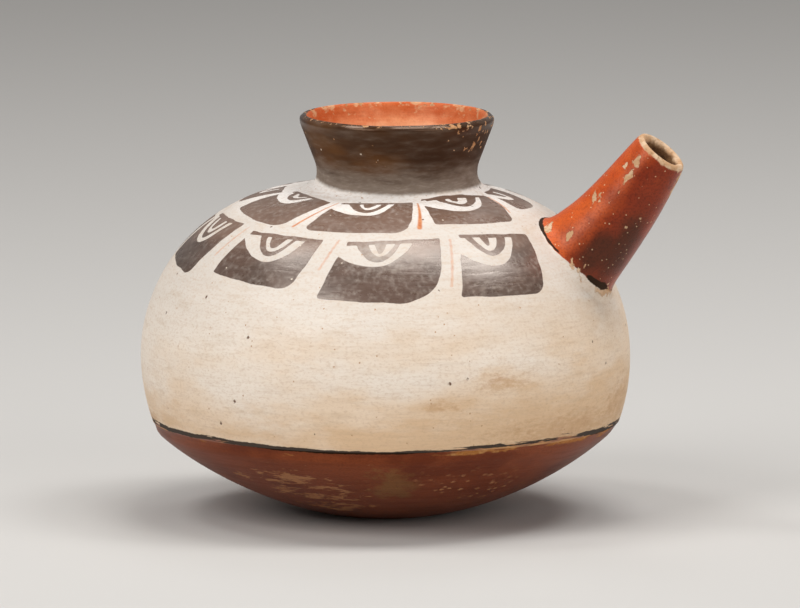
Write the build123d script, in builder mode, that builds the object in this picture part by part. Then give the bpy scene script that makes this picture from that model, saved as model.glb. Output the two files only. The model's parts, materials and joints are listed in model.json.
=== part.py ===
"""Hand-built globular jar with a flaring collar neck and a tapered side spout.

Millimetres, +Z up. The origin is the middle of the flat that the jar stands on, and the spout
leans towards +X. The pieces follow the potter's order of work: a pressed base bowl, coils lapped
one on the next up to the crown, a collar set in a seat, a spout set on a pierced hole, and the
two clay fillets that lute the collar and the spout to the wall.
"""
import math
import os

from build123d import *

# Body, in section
BODY_RADIUS = 95.0  # widest part of the belly
EQUATOR_HEIGHT = 61.0  # height of the widest part over the table
BELLY_ARC = 75.0  # curve of the wall below the widest part
SHOULDER_ARC = 65.0  # curve of the wall above the widest part
CARINATION_HEIGHT = 36.0  # the corner where base and belly meet
REST_RADIUS = 22.5  # worn flat under the base
FLOOR_THICKNESS = 5.5  # clay in the middle of the base
WALL = 5.0  # clay in the belly, shoulder and crown

# Coils
SEAM_ANGLES = (14.0, 29.0, 52.0)  # inner edges of the joints between the shoulder's coils
CROWN_BAND = 9.0  # clay of the crown coil, outside the seat of the collar
COIL_LAP = 4.0  # how far a joint climbs from the inner face to the outer one

# Collar neck
NECK_OFFSET = 4.5  # the neck leans over towards the spout
NECK_RADIUS = 31.0  # outside of the waist
RIM_RADIUS = 37.9  # outside of the lip
NECK_WALL = 4.0
SEAT_DEPTH = 1.5  # how deep the collar is let into the crown
WAIST_RISE = 8.0  # straight foot of the collar, over the crown
FLARE_RISE = 25.5  # top of the flare, over the crown
RIM_RISE = 29.0  # top of the lip, over the crown
WAIST_BEND = 24.0  # bend from the straight foot into the flare
FLARE_BEND = 7.0  # bend from the flare into the upright lip
LIP_ROUND = 1.85  # rounding of the lip's two edges
NECK_LUTE = 5.5  # curve of the clay fillet round the foot of the collar

# Spout
SPOUT_FOOT_ANGLE = 41.0  # where its axis leaves the shoulder's curve
SPOUT_TILT = 51.5  # its slope over the horizontal
SPOUT_LENGTH = 52.0  # along its axis, from the shoulder to the mouth
TIP_RADIUS = 11.1
ROOT_RADIUS = 17.2
SPOUT_WALL = 4.9  # clay below the straight part of the bore
BORE_RADIUS = 6.2
STRAIGHT_BORE = 18.0  # length of the straight part of the bore, from the mouth
MOUTH_ROUND = 2.2  # rounding of the mouth's two edges
PIERCED_RADIUS = 8.5  # hole pierced in the shoulder under the spout
SPOUT_LUTE = 9.0  # curve of the clay fillet round the foot of the spout
LUTE_FEATHER = 0.3  # how far the curve of a clay fillet runs on below the faces that it joins
EDGE_SHARE = 0.48  # the most of a wall that the rounding of one of its edges may take


def on_arc(centre, radius, degrees):
    """Point of a section arc at an angle over the horizontal."""
    angle = math.radians(degrees)
    return (centre[0] + radius * math.cos(angle), centre[1] + radius * math.sin(angle))


def seam(degrees):
    """Outer and inner end of the slanted joint that starts at this angle on the inner face."""
    outer = on_arc(shoulder_centre, SHOULDER_ARC, degrees + lap_angle)
    inner = on_arc(shoulder_centre, SHOULDER_ARC - WALL, degrees)
    return outer, inner


def dome_height(radius):
    """Height of the shoulder's outer face at a distance from the jar's axis."""
    run = max(radius - shoulder_centre[0], 0.0)
    return EQUATOR_HEIGHT + math.sqrt(SHOULDER_ARC**2 - run**2)


def spout_outline(inset):
    """Half section of the blank spout, drawn in by a small inset."""
    return (
        (0, -buried),
        (ROOT_RADIUS + spout_taper * buried - inset, -buried),
        (TIP_RADIUS - inset, SPOUT_LENGTH - inset),
        (0, SPOUT_LENGTH - inset),
    )


def save(builder, name):
    """Label a finished piece and write it as a STEP file."""
    builder.part.label = name
    export_step(builder.part, f"parts/{name}.step")


# Section points that several pieces share
belly_centre = (BODY_RADIUS - BELLY_ARC, EQUATOR_HEIGHT)
shoulder_centre = (BODY_RADIUS - SHOULDER_ARC, EQUATOR_HEIGHT)
lap_angle = math.degrees(COIL_LAP / SHOULDER_ARC)
crown_reach = NECK_OFFSET + NECK_RADIUS + CROWN_BAND - shoulder_centre[0]
crown_start = math.degrees(math.acos(crown_reach / (SHOULDER_ARC - WALL)))
seam_angles = (0.0, *SEAM_ANGLES, crown_start)
belly_drop = EQUATOR_HEIGHT - CARINATION_HEIGHT
outer_drop_angle = math.degrees(math.asin(belly_drop / BELLY_ARC))
inner_drop_angle = math.degrees(math.asin(belly_drop / (BELLY_ARC - WALL)))
corner_outer = on_arc(belly_centre, BELLY_ARC, -outer_drop_angle)
corner_inner = on_arc(belly_centre, BELLY_ARC - WALL, -inner_drop_angle)
crown_height = EQUATOR_HEIGHT + SHOULDER_ARC

# The base is a cap of a ball: one ball through the edge of the flat and the corner outside,
# another through the floor's thickness and the corner inside
outer_ball_height = (math.hypot(*corner_outer) ** 2 - REST_RADIUS**2) / (2 * CARINATION_HEIGHT)
outer_ball = math.hypot(REST_RADIUS, outer_ball_height)
floor_to_corner = CARINATION_HEIGHT - FLOOR_THICKNESS
inner_ball = (corner_inner[0] ** 2 + floor_to_corner**2) / (2 * floor_to_corner)

# Collar and spout, placed on the body
neck_axis = Axis((NECK_OFFSET, 0, 0), (0, 0, 1))
neck_plane = Plane(origin=(NECK_OFFSET, 0, 0), x_dir=(1, 0, 0), z_dir=(0, -1, 0))
neck_bore = NECK_RADIUS - NECK_WALL
seat_height = dome_height(NECK_OFFSET + NECK_RADIUS) - SEAT_DEPTH
tilt = math.radians(SPOUT_TILT)
foot_radius, foot_height = on_arc(shoulder_centre, SHOULDER_ARC, SPOUT_FOOT_ANGLE)
spout_foot = (foot_radius, 0, foot_height)
spout_direction = (math.cos(tilt), 0, math.sin(tilt))
spout_axis = Axis(spout_foot, spout_direction)
spout_plane = Plane(origin=spout_foot, x_dir=(math.sin(tilt), 0, -math.cos(tilt)), z_dir=(0, -1, 0))
pierced_plane = Plane(origin=spout_foot, z_dir=spout_direction)
spout_taper = (ROOT_RADIUS - TIP_RADIUS) / SPOUT_LENGTH
buried = ROOT_RADIUS  # length of the blank spout below the shoulder, before its foot is cut to fit

os.makedirs("parts", exist_ok=True)

# The body's outer form, filled, used to cut the feet of the collar's and spout's clay
with BuildPart() as body_form:
    with BuildSketch(Plane.XZ):
        with BuildLine():
            Line((0, 0), (REST_RADIUS, 0))
            RadiusArc((REST_RADIUS, 0), corner_outer, -outer_ball)
            CenterArc(belly_centre, BELLY_ARC, -outer_drop_angle, outer_drop_angle)
            CenterArc(shoulder_centre, SHOULDER_ARC, 0, 90)
            Line((shoulder_centre[0], crown_height), (0, crown_height))
            Line((0, crown_height), (0, 0))
        make_face()
    revolve(axis=Axis.Z)

# The shoulder's outer form, a feather's depth smaller, on which the clay fillets are curved
with BuildPart() as shoulder_core:
    with BuildSketch(Plane.XZ):
        with BuildLine():
            core_height = crown_height - LUTE_FEATHER
            CenterArc(shoulder_centre, SHOULDER_ARC - LUTE_FEATHER, 0, 90)
            Polyline(
                (shoulder_centre[0], core_height),
                (0, core_height),
                (0, EQUATOR_HEIGHT),
                (BODY_RADIUS - LUTE_FEATHER, EQUATOR_HEIGHT),
            )
        make_face()
    revolve(axis=Axis.Z)

# Base bowl, pressed in a shallow dish, with a flat rim for the first coil
with BuildPart() as base_bowl:
    with BuildSketch(Plane.XZ):
        with BuildLine():
            Line((0, 0), (REST_RADIUS, 0))
            RadiusArc((REST_RADIUS, 0), corner_outer, -outer_ball)
            Line(corner_outer, corner_inner)
            RadiusArc((0, FLOOR_THICKNESS), corner_inner, -inner_ball)
            Line((0, FLOOR_THICKNESS), (0, 0))
        make_face()
    revolve(axis=Axis.Z)
save(base_bowl, "base_bowl")

# Belly coil, from the corner to just over the widest part
with BuildPart() as belly_coil:
    with BuildSketch(Plane.XZ):
        with BuildLine():
            CenterArc(belly_centre, BELLY_ARC, -outer_drop_angle, outer_drop_angle)
            CenterArc(shoulder_centre, SHOULDER_ARC, 0, lap_angle)
            Line(*seam(0))
            CenterArc(belly_centre, BELLY_ARC - WALL, -inner_drop_angle, inner_drop_angle)
            Line(corner_inner, corner_outer)
        make_face()
    revolve(axis=Axis.Z)
save(belly_coil, "belly_coil")

# Shoulder coils, each lapped on the one below, with the hole pierced for the spout
for number, (low, high) in enumerate(zip(seam_angles, seam_angles[1:]), start=1):
    with BuildPart() as shoulder_coil:
        with BuildSketch(Plane.XZ):
            with BuildLine():
                CenterArc(shoulder_centre, SHOULDER_ARC, low + lap_angle, high - low)
                Line(*seam(high))
                CenterArc(shoulder_centre, SHOULDER_ARC - WALL, low, high - low)
                Line(*seam(low))
            make_face()
        revolve(axis=Axis.Z)
        with Locations(pierced_plane):
            Hole(PIERCED_RADIUS, depth=2 * WALL)
    save(shoulder_coil, f"shoulder_coil_{number}")

# Crown coil, closing over the top, with the mouth cut through and a seat for the collar
with BuildPart() as crown_coil:
    with BuildSketch(Plane.XZ):
        with BuildLine():
            CenterArc(shoulder_centre, SHOULDER_ARC, crown_start + lap_angle, 90 - crown_start - lap_angle)
            Line((shoulder_centre[0], crown_height), (0, crown_height))
            Line((0, crown_height), (0, crown_height - WALL))
            Line((0, crown_height - WALL), (shoulder_centre[0], crown_height - WALL))
            CenterArc(shoulder_centre, SHOULDER_ARC - WALL, crown_start, 90 - crown_start)
            Line(*seam(crown_start))
        make_face()
    revolve(axis=Axis.Z)
    with Locations((NECK_OFFSET, 0, crown_height)):
        CounterBoreHole(neck_bore, NECK_RADIUS, crown_height - seat_height, depth=2 * WALL)
save(crown_coil, "crown_coil")

# Collar neck: straight foot, flare and rounded lip
with BuildPart() as neck_collar:
    with BuildSketch(neck_plane) as neck_section:
        with BuildLine():
            waist_height = crown_height + WAIST_RISE
            flare_height = crown_height + FLARE_RISE
            rim_height = crown_height + RIM_RISE
            Polyline(
                (neck_bore, seat_height),
                (NECK_RADIUS, seat_height),
                (NECK_RADIUS, waist_height),
                (RIM_RADIUS, flare_height),
                (RIM_RADIUS, rim_height),
                (RIM_RADIUS - NECK_WALL, rim_height),
                (RIM_RADIUS - NECK_WALL, flare_height),
                (neck_bore, waist_height),
                close=True,
            )
        make_face()
        corners = neck_section.vertices().group_by(Axis.Y)
        fillet(corners[1], WAIST_BEND)
        fillet(corners[2], FLARE_BEND)
        fillet(corners[3], min(LIP_ROUND, EDGE_SHARE * NECK_WALL))
    revolve(axis=neck_axis)
save(neck_collar, "neck_collar")

# Clay fillet round the foot of the collar
with BuildPart() as collar_foot:
    with BuildSketch(Plane(neck_axis.position + Vector(0, 0, seat_height))):
        Circle(NECK_RADIUS)
    extrude(amount=waist_height - seat_height)
with BuildPart() as neck_lute:
    add(shoulder_core.part)
    with BuildSketch(Plane(neck_axis.position + Vector(0, 0, seat_height - WALL))):
        Circle(NECK_RADIUS - LUTE_FEATHER)
    extrude(amount=WALL + waist_height - seat_height - LUTE_FEATHER)
    neck_joint = neck_lute.edges(Select.NEW).group_by(Axis.Z)[0]
    fillet(neck_joint, NECK_LUTE)
    for solid in (body_form, collar_foot, neck_collar):
        add(solid.part, mode=Mode.SUBTRACT)
save(neck_lute, "neck_lute")

# Spout before it is bored and its foot is cut
with BuildPart() as spout_blank:
    with BuildSketch(spout_plane):
        Polygon(*spout_outline(0), align=None)
    revolve(axis=spout_axis)

# Spout tube: tapered outside, straight at the mouth and widening to the foot inside
with BuildPart() as spout_tube:
    add(spout_blank.part)
    with BuildSketch(spout_plane):
        Polygon(
            (0, -buried),
            (ROOT_RADIUS + spout_taper * buried - SPOUT_WALL, -buried),
            (BORE_RADIUS, SPOUT_LENGTH - STRAIGHT_BORE),
            (BORE_RADIUS, SPOUT_LENGTH),
            (0, SPOUT_LENGTH),
            align=None,
        )
    revolve(axis=spout_axis, mode=Mode.SUBTRACT)
    mouth = spout_tube.faces().sort_by(spout_axis)[-1]
    fillet(mouth.edges(), min(MOUTH_ROUND, EDGE_SHARE * (TIP_RADIUS - BORE_RADIUS)))
    add(body_form.part, mode=Mode.SUBTRACT)
save(spout_tube, "spout_tube")

# Clay fillet round the foot of the spout
with BuildPart() as spout_lute:
    add(shoulder_core.part)
    with BuildSketch(spout_plane):
        Polygon(*spout_outline(LUTE_FEATHER), align=None)
    revolve(axis=spout_axis)
    spout_joint = spout_lute.edges(Select.NEW)
    fillet(spout_joint, SPOUT_LUTE)
    for solid in (body_form, spout_blank):
        add(solid.part, mode=Mode.SUBTRACT)
save(spout_lute, "spout_lute")
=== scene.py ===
"""Looks of a hand-built, slip-painted jar with a collar neck and a tapered side spout.

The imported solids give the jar's main sizes and the spout's axis. Shapes are drawn in millimetres, in
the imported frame: +Z up, the spout towards +X, the origin under the middle of the base. Turns round the
jar are polar angles in degrees from +X.
"""
import json
import logging
import math
from dataclasses import dataclass, replace
from enum import Enum
from typing import Any

import bmesh
import bpy
import numpy as np
from mathutils import Matrix, Vector
from mathutils.geometry import interpolate_bezier


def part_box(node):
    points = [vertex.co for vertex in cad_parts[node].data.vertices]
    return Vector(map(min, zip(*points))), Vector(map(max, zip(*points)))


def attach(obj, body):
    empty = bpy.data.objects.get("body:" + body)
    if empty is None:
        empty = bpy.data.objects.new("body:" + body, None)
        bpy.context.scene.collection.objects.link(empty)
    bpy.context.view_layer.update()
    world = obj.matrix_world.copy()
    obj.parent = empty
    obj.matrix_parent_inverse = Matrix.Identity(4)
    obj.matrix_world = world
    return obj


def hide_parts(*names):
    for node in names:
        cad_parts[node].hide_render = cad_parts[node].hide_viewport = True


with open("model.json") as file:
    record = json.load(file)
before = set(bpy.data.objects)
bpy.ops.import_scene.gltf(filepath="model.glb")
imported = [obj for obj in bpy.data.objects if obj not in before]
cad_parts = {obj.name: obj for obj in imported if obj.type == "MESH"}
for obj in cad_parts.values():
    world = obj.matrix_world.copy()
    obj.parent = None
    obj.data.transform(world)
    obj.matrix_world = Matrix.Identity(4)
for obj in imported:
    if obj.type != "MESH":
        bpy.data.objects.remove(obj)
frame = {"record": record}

log = logging.getLogger("jar")

MM = 0.001  # metres in a millimetre
Pair = tuple[float, float]
Mesh = bpy.types.Mesh
Material = bpy.types.Material
Socket = bpy.types.NodeSocket


class Slot(Enum):
    """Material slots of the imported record."""

    BASE = "red_slip"
    WALL = "cream_slip"
    NECK = "umber_slip"
    SPOUT = "spout_slip"


class Mark(Enum):
    """Values that a mesh keeps at its vertices for its finish."""

    DARK = "dark_paint"  # mm to the edge of the umber panels, below zero inside them
    ORANGE = "orange_paint"  # mm to the edge of the thin orange strokes
    RISE = "over_line"  # mm over the middle of the black line at the corner
    FOOT = "from_foot"  # mm past the lower edge of the slip of the neck or spout, below zero on it
    LINE = "black_line"  # mm to the edge of a black line, below zero on it
    CREST = "from_crest"  # mm past the crest of a lip, below zero outside the vessel
    INNER = "inner_slip"  # mm past the edge of the red slip inside the neck
    FLAKES = "flaking"  # how much slip has flaked off there, from 0 to 1
    # SMOKE is fire clouding, except inside the neck's mouth, where it marks a painted highlight
    SMOKE = "smoke"  # clouding by the fire, from 0 to 1
    SOOT = "soot"  # blackening by the fire, from 0 to 1
    STAIN = "stain"  # staining or flecking of the slip, from 0 to 1
    # RUB is wear, except on one eye panel of the wall, where it marks a painted sheen
    RUB = "rubbing"  # wear of the slip or paint, from 0 to 1


class Axis(Enum):
    """Directions in which a finish changes over the whole jar."""

    SPOUT = "X"
    UP = "Z"


def linear(code: str) -> tuple[float, float, float, float]:
    """Turn an sRGB hex colour into a linear one with alpha.

    Args:
        code: A colour such as "#E6D6C1".

    Returns:
        Linear red, green and blue, and an alpha of one.
    """
    parts = [int(code[i : i + 2], 16) / 255 for i in (1, 3, 5)]
    bent = [p / 12.92 if p <= 0.04045 else ((p + 0.055) / 1.055) ** 2.4 for p in parts]
    return (*bent, 1.0)


def smooth(values: np.ndarray) -> np.ndarray:
    """Ease values from 0 to 1 and hold them there outside that range."""
    held = np.clip(values, 0.0, 1.0)
    return held * held * (3.0 - 2.0 * held)


def turn_between(turns: np.ndarray, middle: float) -> np.ndarray:
    """Turn from a middle direction, in degrees between -180 and 180."""
    return (turns - middle + 180.0) % 360.0 - 180.0


def turns_of(points: np.ndarray) -> np.ndarray:
    """Turns of points round the Z axis, in degrees."""
    return np.degrees(np.arctan2(points[:, 1], points[:, 0]))


def radii_of(points: np.ndarray) -> np.ndarray:
    """Distances of points from the Z axis."""
    return np.hypot(points[:, 0], points[:, 1])


def by_turn(places: tuple[Pair, ...], turns: np.ndarray) -> np.ndarray:
    """Values at turns, read off between the places where they are given."""
    return np.interp(turns, *zip(*places))


@dataclass(frozen=True)
class Wave:
    """A slow wave over a surface, as a hand leaves it."""

    reach: float
    across: float
    up: float = 0.0
    phase: float = 0.0

    def at(self, across: np.ndarray, up: np.ndarray | float) -> np.ndarray:
        """Value of the wave at points."""
        return self.reach * np.sin(self.across * across + self.up * up + self.phase)


def ripple(waves: tuple[Wave, ...], across: np.ndarray, up: np.ndarray | float = 0.0) -> np.ndarray:
    """Sum of waves at points."""
    return sum(wave.at(across, up) for wave in waves)


@dataclass(frozen=True)
class Spot:
    """A soft-edged place on a spun piece, by turn round its axis and distance along its section."""

    turn: float
    along: float
    half_turn: float
    half_along: float

    def weight(self, turns: np.ndarray, alongs: np.ndarray) -> np.ndarray:
        """Weight of points in the spot.

        Args:
            turns: Turns round the piece's axis, in degrees.
            alongs: Distances along the section, in mm.

        Returns:
            Weights from 1 in the middle of the spot to 0 well outside it.
        """
        across = turn_between(turns, self.turn) / self.half_turn
        up = (alongs - self.along) / self.half_along
        return np.exp(-(across**2) - up**2)


Spots = tuple[Spot, ...]


def spot_marks(
    places: dict[Mark, Spots], turns: np.ndarray, alongs: np.ndarray
) -> dict[Mark, np.ndarray]:
    """Strongest weight of each mark's spots.

    Args:
        places: The spots of each mark.
        turns: Turns of points round the piece's axis, in degrees.
        alongs: Distances of the points along the section, in mm.

    Returns:
        For each mark, the weights of the points.
    """
    weights = {}
    for mark, spots in places.items():
        weights[mark] = np.max([spot.weight(turns, alongs) for spot in spots], axis=0)
    return weights


@dataclass(frozen=True)
class JarForm:
    """The body's section, in mm, which the pieces share."""

    radius: float
    corner_radius: float
    corner_height: float
    crown_height: float
    rest_radius: float = 22.5
    floor: float = 5.5
    wall: float = 5.0
    belly_arc: float = 75.0
    shoulder_arc: float = 65.0
    hand_depth: float = 0.34  # mean depth of the marks of the hand
    hand_waves: tuple[Wave, ...] = (
        Wave(0.13, 2, 0, 0.9),
        Wave(0.1, 3, -1 / 31, 2.2),
        Wave(0.07, 7, 1 / 12),
        Wave(0.05, 11, -1 / 7, 1.3),
    )
    hand_start: float = 12.0  # distance from the axis at which those marks start
    hand_run: float = 40.0  # run over which they grow to their full depth

    @classmethod
    def from_frame(cls) -> "JarForm":
        """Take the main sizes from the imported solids.

        Returns:
            The form.
        """
        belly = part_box("belly_coil")[1] / MM
        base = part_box("base_bowl")[1] / MM
        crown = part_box("crown_coil")[1] / MM
        return cls(belly.x, base.x, base.z, crown.z)

    @property
    def equator(self) -> float:
        """Height of the widest part."""
        return self.crown_height - self.shoulder_arc

    @property
    def shoulder_radius(self) -> float:
        """Distance of the shoulder's centre of curvature from the axis."""
        return self.radius - self.shoulder_arc

    @property
    def belly_radius(self) -> float:
        """Distance of the belly's centre of curvature from the axis."""
        return self.radius - self.belly_arc

    def drop_angle(self, inset: float) -> float:
        """Angle from the widest part down to the corner, on a skin inset from the outer one."""
        drop = self.equator - self.corner_height
        return math.degrees(math.asin(drop / (self.belly_arc - inset)))

    def inner_corner(self) -> float:
        """Radius of the inner skin at the corner's height."""
        arc = self.belly_arc - self.wall
        return self.belly_radius + arc * math.cos(math.radians(self.drop_angle(self.wall)))

    def dome_gap(self, points: np.ndarray) -> np.ndarray:
        """Distance of points from the shoulder's outer skin.

        Args:
            points: Points in mm.

        Returns:
            Distances in mm, below zero inside.
        """
        run = radii_of(points) - self.shoulder_radius
        rise = points[:, 2] - self.equator
        return np.where(run > 0, np.hypot(run, rise), rise) - self.shoulder_arc

    def hand_marks(self, points: np.ndarray) -> np.ndarray:
        """Draw points in towards the axis a little, as a pot made without a wheel wanders.

        Args:
            points: Points of the base or wall, in mm.

        Returns:
            The moved points, never further out than before.
        """
        turns, radius = np.radians(turns_of(points)), radii_of(points)
        depth = self.hand_depth + ripple(self.hand_waves, turns, points[:, 2])
        depth = depth * smooth((radius - self.hand_start) / self.hand_run)
        moved = points.copy()
        moved[:, :2] *= (1.0 - depth / np.maximum(radius, 1.0))[:, None]
        return moved


def to_mesh(shape: bmesh.types.BMesh, name: str) -> Mesh:
    """Turn a bmesh into a mesh, and free it.

    Args:
        shape: The bmesh.
        name: The mesh's name.

    Returns:
        The mesh.
    """
    mesh = bpy.data.meshes.new(name)
    shape.to_mesh(mesh)
    shape.free()
    return mesh


def add_object(name: str, data: bpy.types.ID) -> bpy.types.Object:
    """Put a mesh, lamp or camera in the scene.

    Args:
        name: The object's name.
        data: What it shows.

    Returns:
        The object, at the origin.
    """
    thing = bpy.data.objects.new(name, data)
    bpy.context.scene.collection.objects.link(thing)
    return thing


class Section:
    """Half section of a spun piece, drawn from vertex to vertex in the XZ plane, in mm."""

    def __init__(self, radius: float, height: float) -> None:
        """Start the section at a point.

        Args:
            radius: The point's distance from the axis.
            height: Its height.
        """
        self.mesh = bmesh.new()
        self.along = self.mesh.verts.layers.float.new(Mark.CREST.value)
        self.first = self.mesh.verts.new((radius, 0.0, height))
        self.tip = self.first

    def line_to(self, radius: float, height: float, steps: int = 1) -> "Section":
        """Draw a straight run to a point, in equal steps.

        Args:
            radius: The point's distance from the axis.
            height: Its height.
            steps: Number of edges.

        Returns:
            The section itself.
        """
        start = self.tip.co.copy()
        end = Vector((radius, 0.0, height))
        return self._through([start.lerp(end, (i + 1) / steps) for i in range(steps)])

    def arc(self, radius: float, height: float, degrees: float, steps: int) -> "Section":
        """Draw an arc round a centre, in equal steps.

        Args:
            radius: The centre's distance from the axis.
            height: Its height.
            degrees: The arc's turn, counter-clockwise with +X to the right.
            steps: Number of edges.

        Returns:
            The section itself.
        """
        made = bmesh.ops.spin(
            self.mesh,
            geom=[self.tip],
            cent=(radius, 0.0, height),
            axis=(0.0, -1.0, 0.0),
            angle=math.radians(degrees),
            steps=steps,
        )
        self.tip = next(item for item in made["geom_last"] if isinstance(item, bmesh.types.BMVert))
        return self

    def curve_to(self, leave: Pair, arrive: Pair, end: Pair, steps: int) -> "Section":
        """Draw a Bezier curve to a point.

        Args:
            leave: Handle at the start, as radius and height.
            arrive: Handle at the end.
            end: The end point.
            steps: Number of edges.

        Returns:
            The section itself.
        """
        knots = [self.tip.co.copy(), *(Vector((r, 0.0, h)) for r, h in (leave, arrive, end))]
        return self._through(interpolate_bezier(*knots, steps + 1)[1:])

    def _through(self, points: list[Vector]) -> "Section":
        """Extrude the tip to each point in turn.

        Args:
            points: The points.

        Returns:
            The section itself.
        """
        for point in points:
            made = bmesh.ops.extrude_vert_indiv(self.mesh, verts=[self.tip])
            self.tip = made["verts"][0]
            self.tip.co = point
        return self

    def spin(self, steps: int, closed: bool) -> Mesh:
        """Spin the section once round the Z axis into a closed skin.

        Args:
            steps: Number of segments round the axis, a multiple of eight.
            closed: Whether the last point joins the first. Otherwise both ends are on the axis.

        Returns:
            A mesh in mm, with each vertex's distance along the section in its CREST mark.
        """
        shape, origin = self.mesh, (0.0, 0.0, 0.0)
        vert, edge, length = self.first, None, 0.0
        while vert is not self.tip:
            edge = next(e for e in vert.link_edges if e is not edge)
            length += edge.calc_length()
            vert = edge.other_vert(vert)
            vert[self.along] = length
        if closed:
            shape.edges.new((self.tip, self.first))
        # An eighth is spun and then copied round, because one long spin is far slower.
        bmesh.ops.spin(
            shape,
            geom=shape.verts[:] + shape.edges[:],
            cent=origin,
            axis=(0.0, 0.0, 1.0),
            angle=math.tau / 8,
            steps=steps // 8,
        )
        for share in (8, 4, 2):
            whole = shape.verts[:] + shape.edges[:] + shape.faces[:]
            copied = bmesh.ops.duplicate(shape, geom=whole)["geom"]
            verts = [item for item in copied if isinstance(item, bmesh.types.BMVert)]
            turn = Matrix.Rotation(math.tau / share, 3, "Z")
            bmesh.ops.rotate(shape, cent=origin, matrix=turn, verts=verts)
        bmesh.ops.remove_doubles(shape, verts=shape.verts[:], dist=1e-3)
        bmesh.ops.recalc_face_normals(shape, faces=shape.faces[:])
        return to_mesh(shape, "spun")


def read_points(mesh: Mesh) -> np.ndarray:
    """Read the vertices of a mesh.

    Args:
        mesh: The mesh.

    Returns:
        Its points, one row each.
    """
    flat = np.empty(len(mesh.vertices) * 3, np.float32)
    mesh.vertices.foreach_get("co", flat)
    return flat.reshape(-1, 3).astype(float)


def read_along(mesh: Mesh) -> np.ndarray:
    """Read how far along its section each vertex of a spun mesh lies.

    Args:
        mesh: The mesh, as it was spun.

    Returns:
        Distances in mm from the section's start.
    """
    flat = np.empty(len(mesh.vertices), np.float32)
    mesh.attributes[Mark.CREST.value].data.foreach_get("value", flat)
    return flat.astype(float)


def past_crest(mesh: Mesh, points: np.ndarray) -> np.ndarray:
    """Distances along a spun mesh's section from its highest point.

    Args:
        mesh: The mesh, as it was spun.
        points: Its points.

    Returns:
        Distances in mm, below zero before the crest.
    """
    along = read_along(mesh)
    return along - along[np.argmax(points[:, 2])]


def write_marks(mesh: Mesh, marks: dict[Mark, np.ndarray]) -> None:
    """Keep values at the vertices of a mesh for its finish.

    Args:
        mesh: The mesh.
        marks: For each mark, a value for each vertex.
    """
    for mark, values in marks.items():
        layer = mesh.attributes.get(mark.value) or mesh.attributes.new(mark.value, "FLOAT", "POINT")
        layer.data.foreach_set("value", values.astype(np.float32))


def finish_mesh(mesh: Mesh, points: np.ndarray, crease: float = 40.0) -> Mesh:
    """Set a mesh's vertices, and shade it smooth.

    Args:
        mesh: The mesh.
        points: Its points in mm.
        crease: Angle in degrees past which an edge stays sharp.

    Returns:
        The mesh, in metres.
    """
    mesh.vertices.foreach_set("co", (points * MM).astype(np.float32).ravel())
    mesh.shade_smooth()
    mesh.set_sharp_from_angle(angle=math.radians(crease))
    mesh.update()
    return mesh


def dress(name: str, mesh: Mesh, material: Material, slot: Slot, *nodes: str) -> None:
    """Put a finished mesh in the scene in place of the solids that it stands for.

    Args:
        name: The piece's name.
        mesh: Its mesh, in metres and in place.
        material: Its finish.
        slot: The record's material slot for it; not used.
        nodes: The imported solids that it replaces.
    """
    mesh.name = name
    mesh.materials.clear()
    mesh.materials.append(material)
    piece = add_object(name, mesh)
    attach(piece, "root")
    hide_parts(*nodes)
    log.info("%s: %d faces, stands for %s", name, len(mesh.polygons), ", ".join(nodes))


@dataclass(frozen=True)
class Bowl:
    """A bowl-shaped curve of a painted eye, hung from the brow, in mm from the panel's left foot."""

    left: float
    low: float
    right: float
    floor: float

    def gap(self, across: np.ndarray, up: np.ndarray, lid: np.ndarray) -> np.ndarray:
        """Signed distance to the bowl's edge.

        Args:
            across: Distances from the panel's left foot.
            up: Heights over the row's foot.
            lid: Heights of the brow there.

        Returns:
            Distances in mm, exact enough near the edge, below zero inside the bowl.
        """
        half = np.where(across < self.low, self.low - self.left, self.right - self.low)
        share = (across - self.low) / half
        depth = np.maximum(lid - self.floor, 0.5)
        slope = 2.0 * depth * share / half
        gap = (self.floor + depth * share**2 - up) / np.sqrt(1.0 + slope**2)
        return np.maximum(gap, up - lid)


def side_gap(across: np.ndarray, up: np.ndarray, start: Pair, end: Pair, bulge: float) -> np.ndarray:
    """Signed distance from the left of a slightly bowed line.

    Args:
        across: Distances across the rolled-out band.
        up: Distances up it.
        start: Where the line starts.
        end: Where it ends.
        bulge: How far it bows out to the right in the middle.

    Returns:
        Distances in mm, below zero on the line's left.
    """
    run, rise = end[0] - start[0], end[1] - start[1]
    length = math.hypot(run, rise)
    away, over = across - start[0], up - start[1]
    share = np.clip((away * run + over * rise) / length**2, 0.0, 1.0)
    return (away * rise - over * run) / length - 4 * bulge * share * (1 - share)


def round_corner(first: np.ndarray, second: np.ndarray, radius: float) -> np.ndarray:
    """Join two sides of an outline with a rounded corner.

    Args:
        first: Signed distances to one side.
        second: Signed distances to the other.
        radius: Radius of the corner.

    Returns:
        Signed distances to the two sides together.
    """
    near = np.maximum(first, second)
    inside = (first > -radius) & (second > -radius)
    return np.where(inside, np.hypot(first + radius, second + radius) - radius, near)


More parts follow.
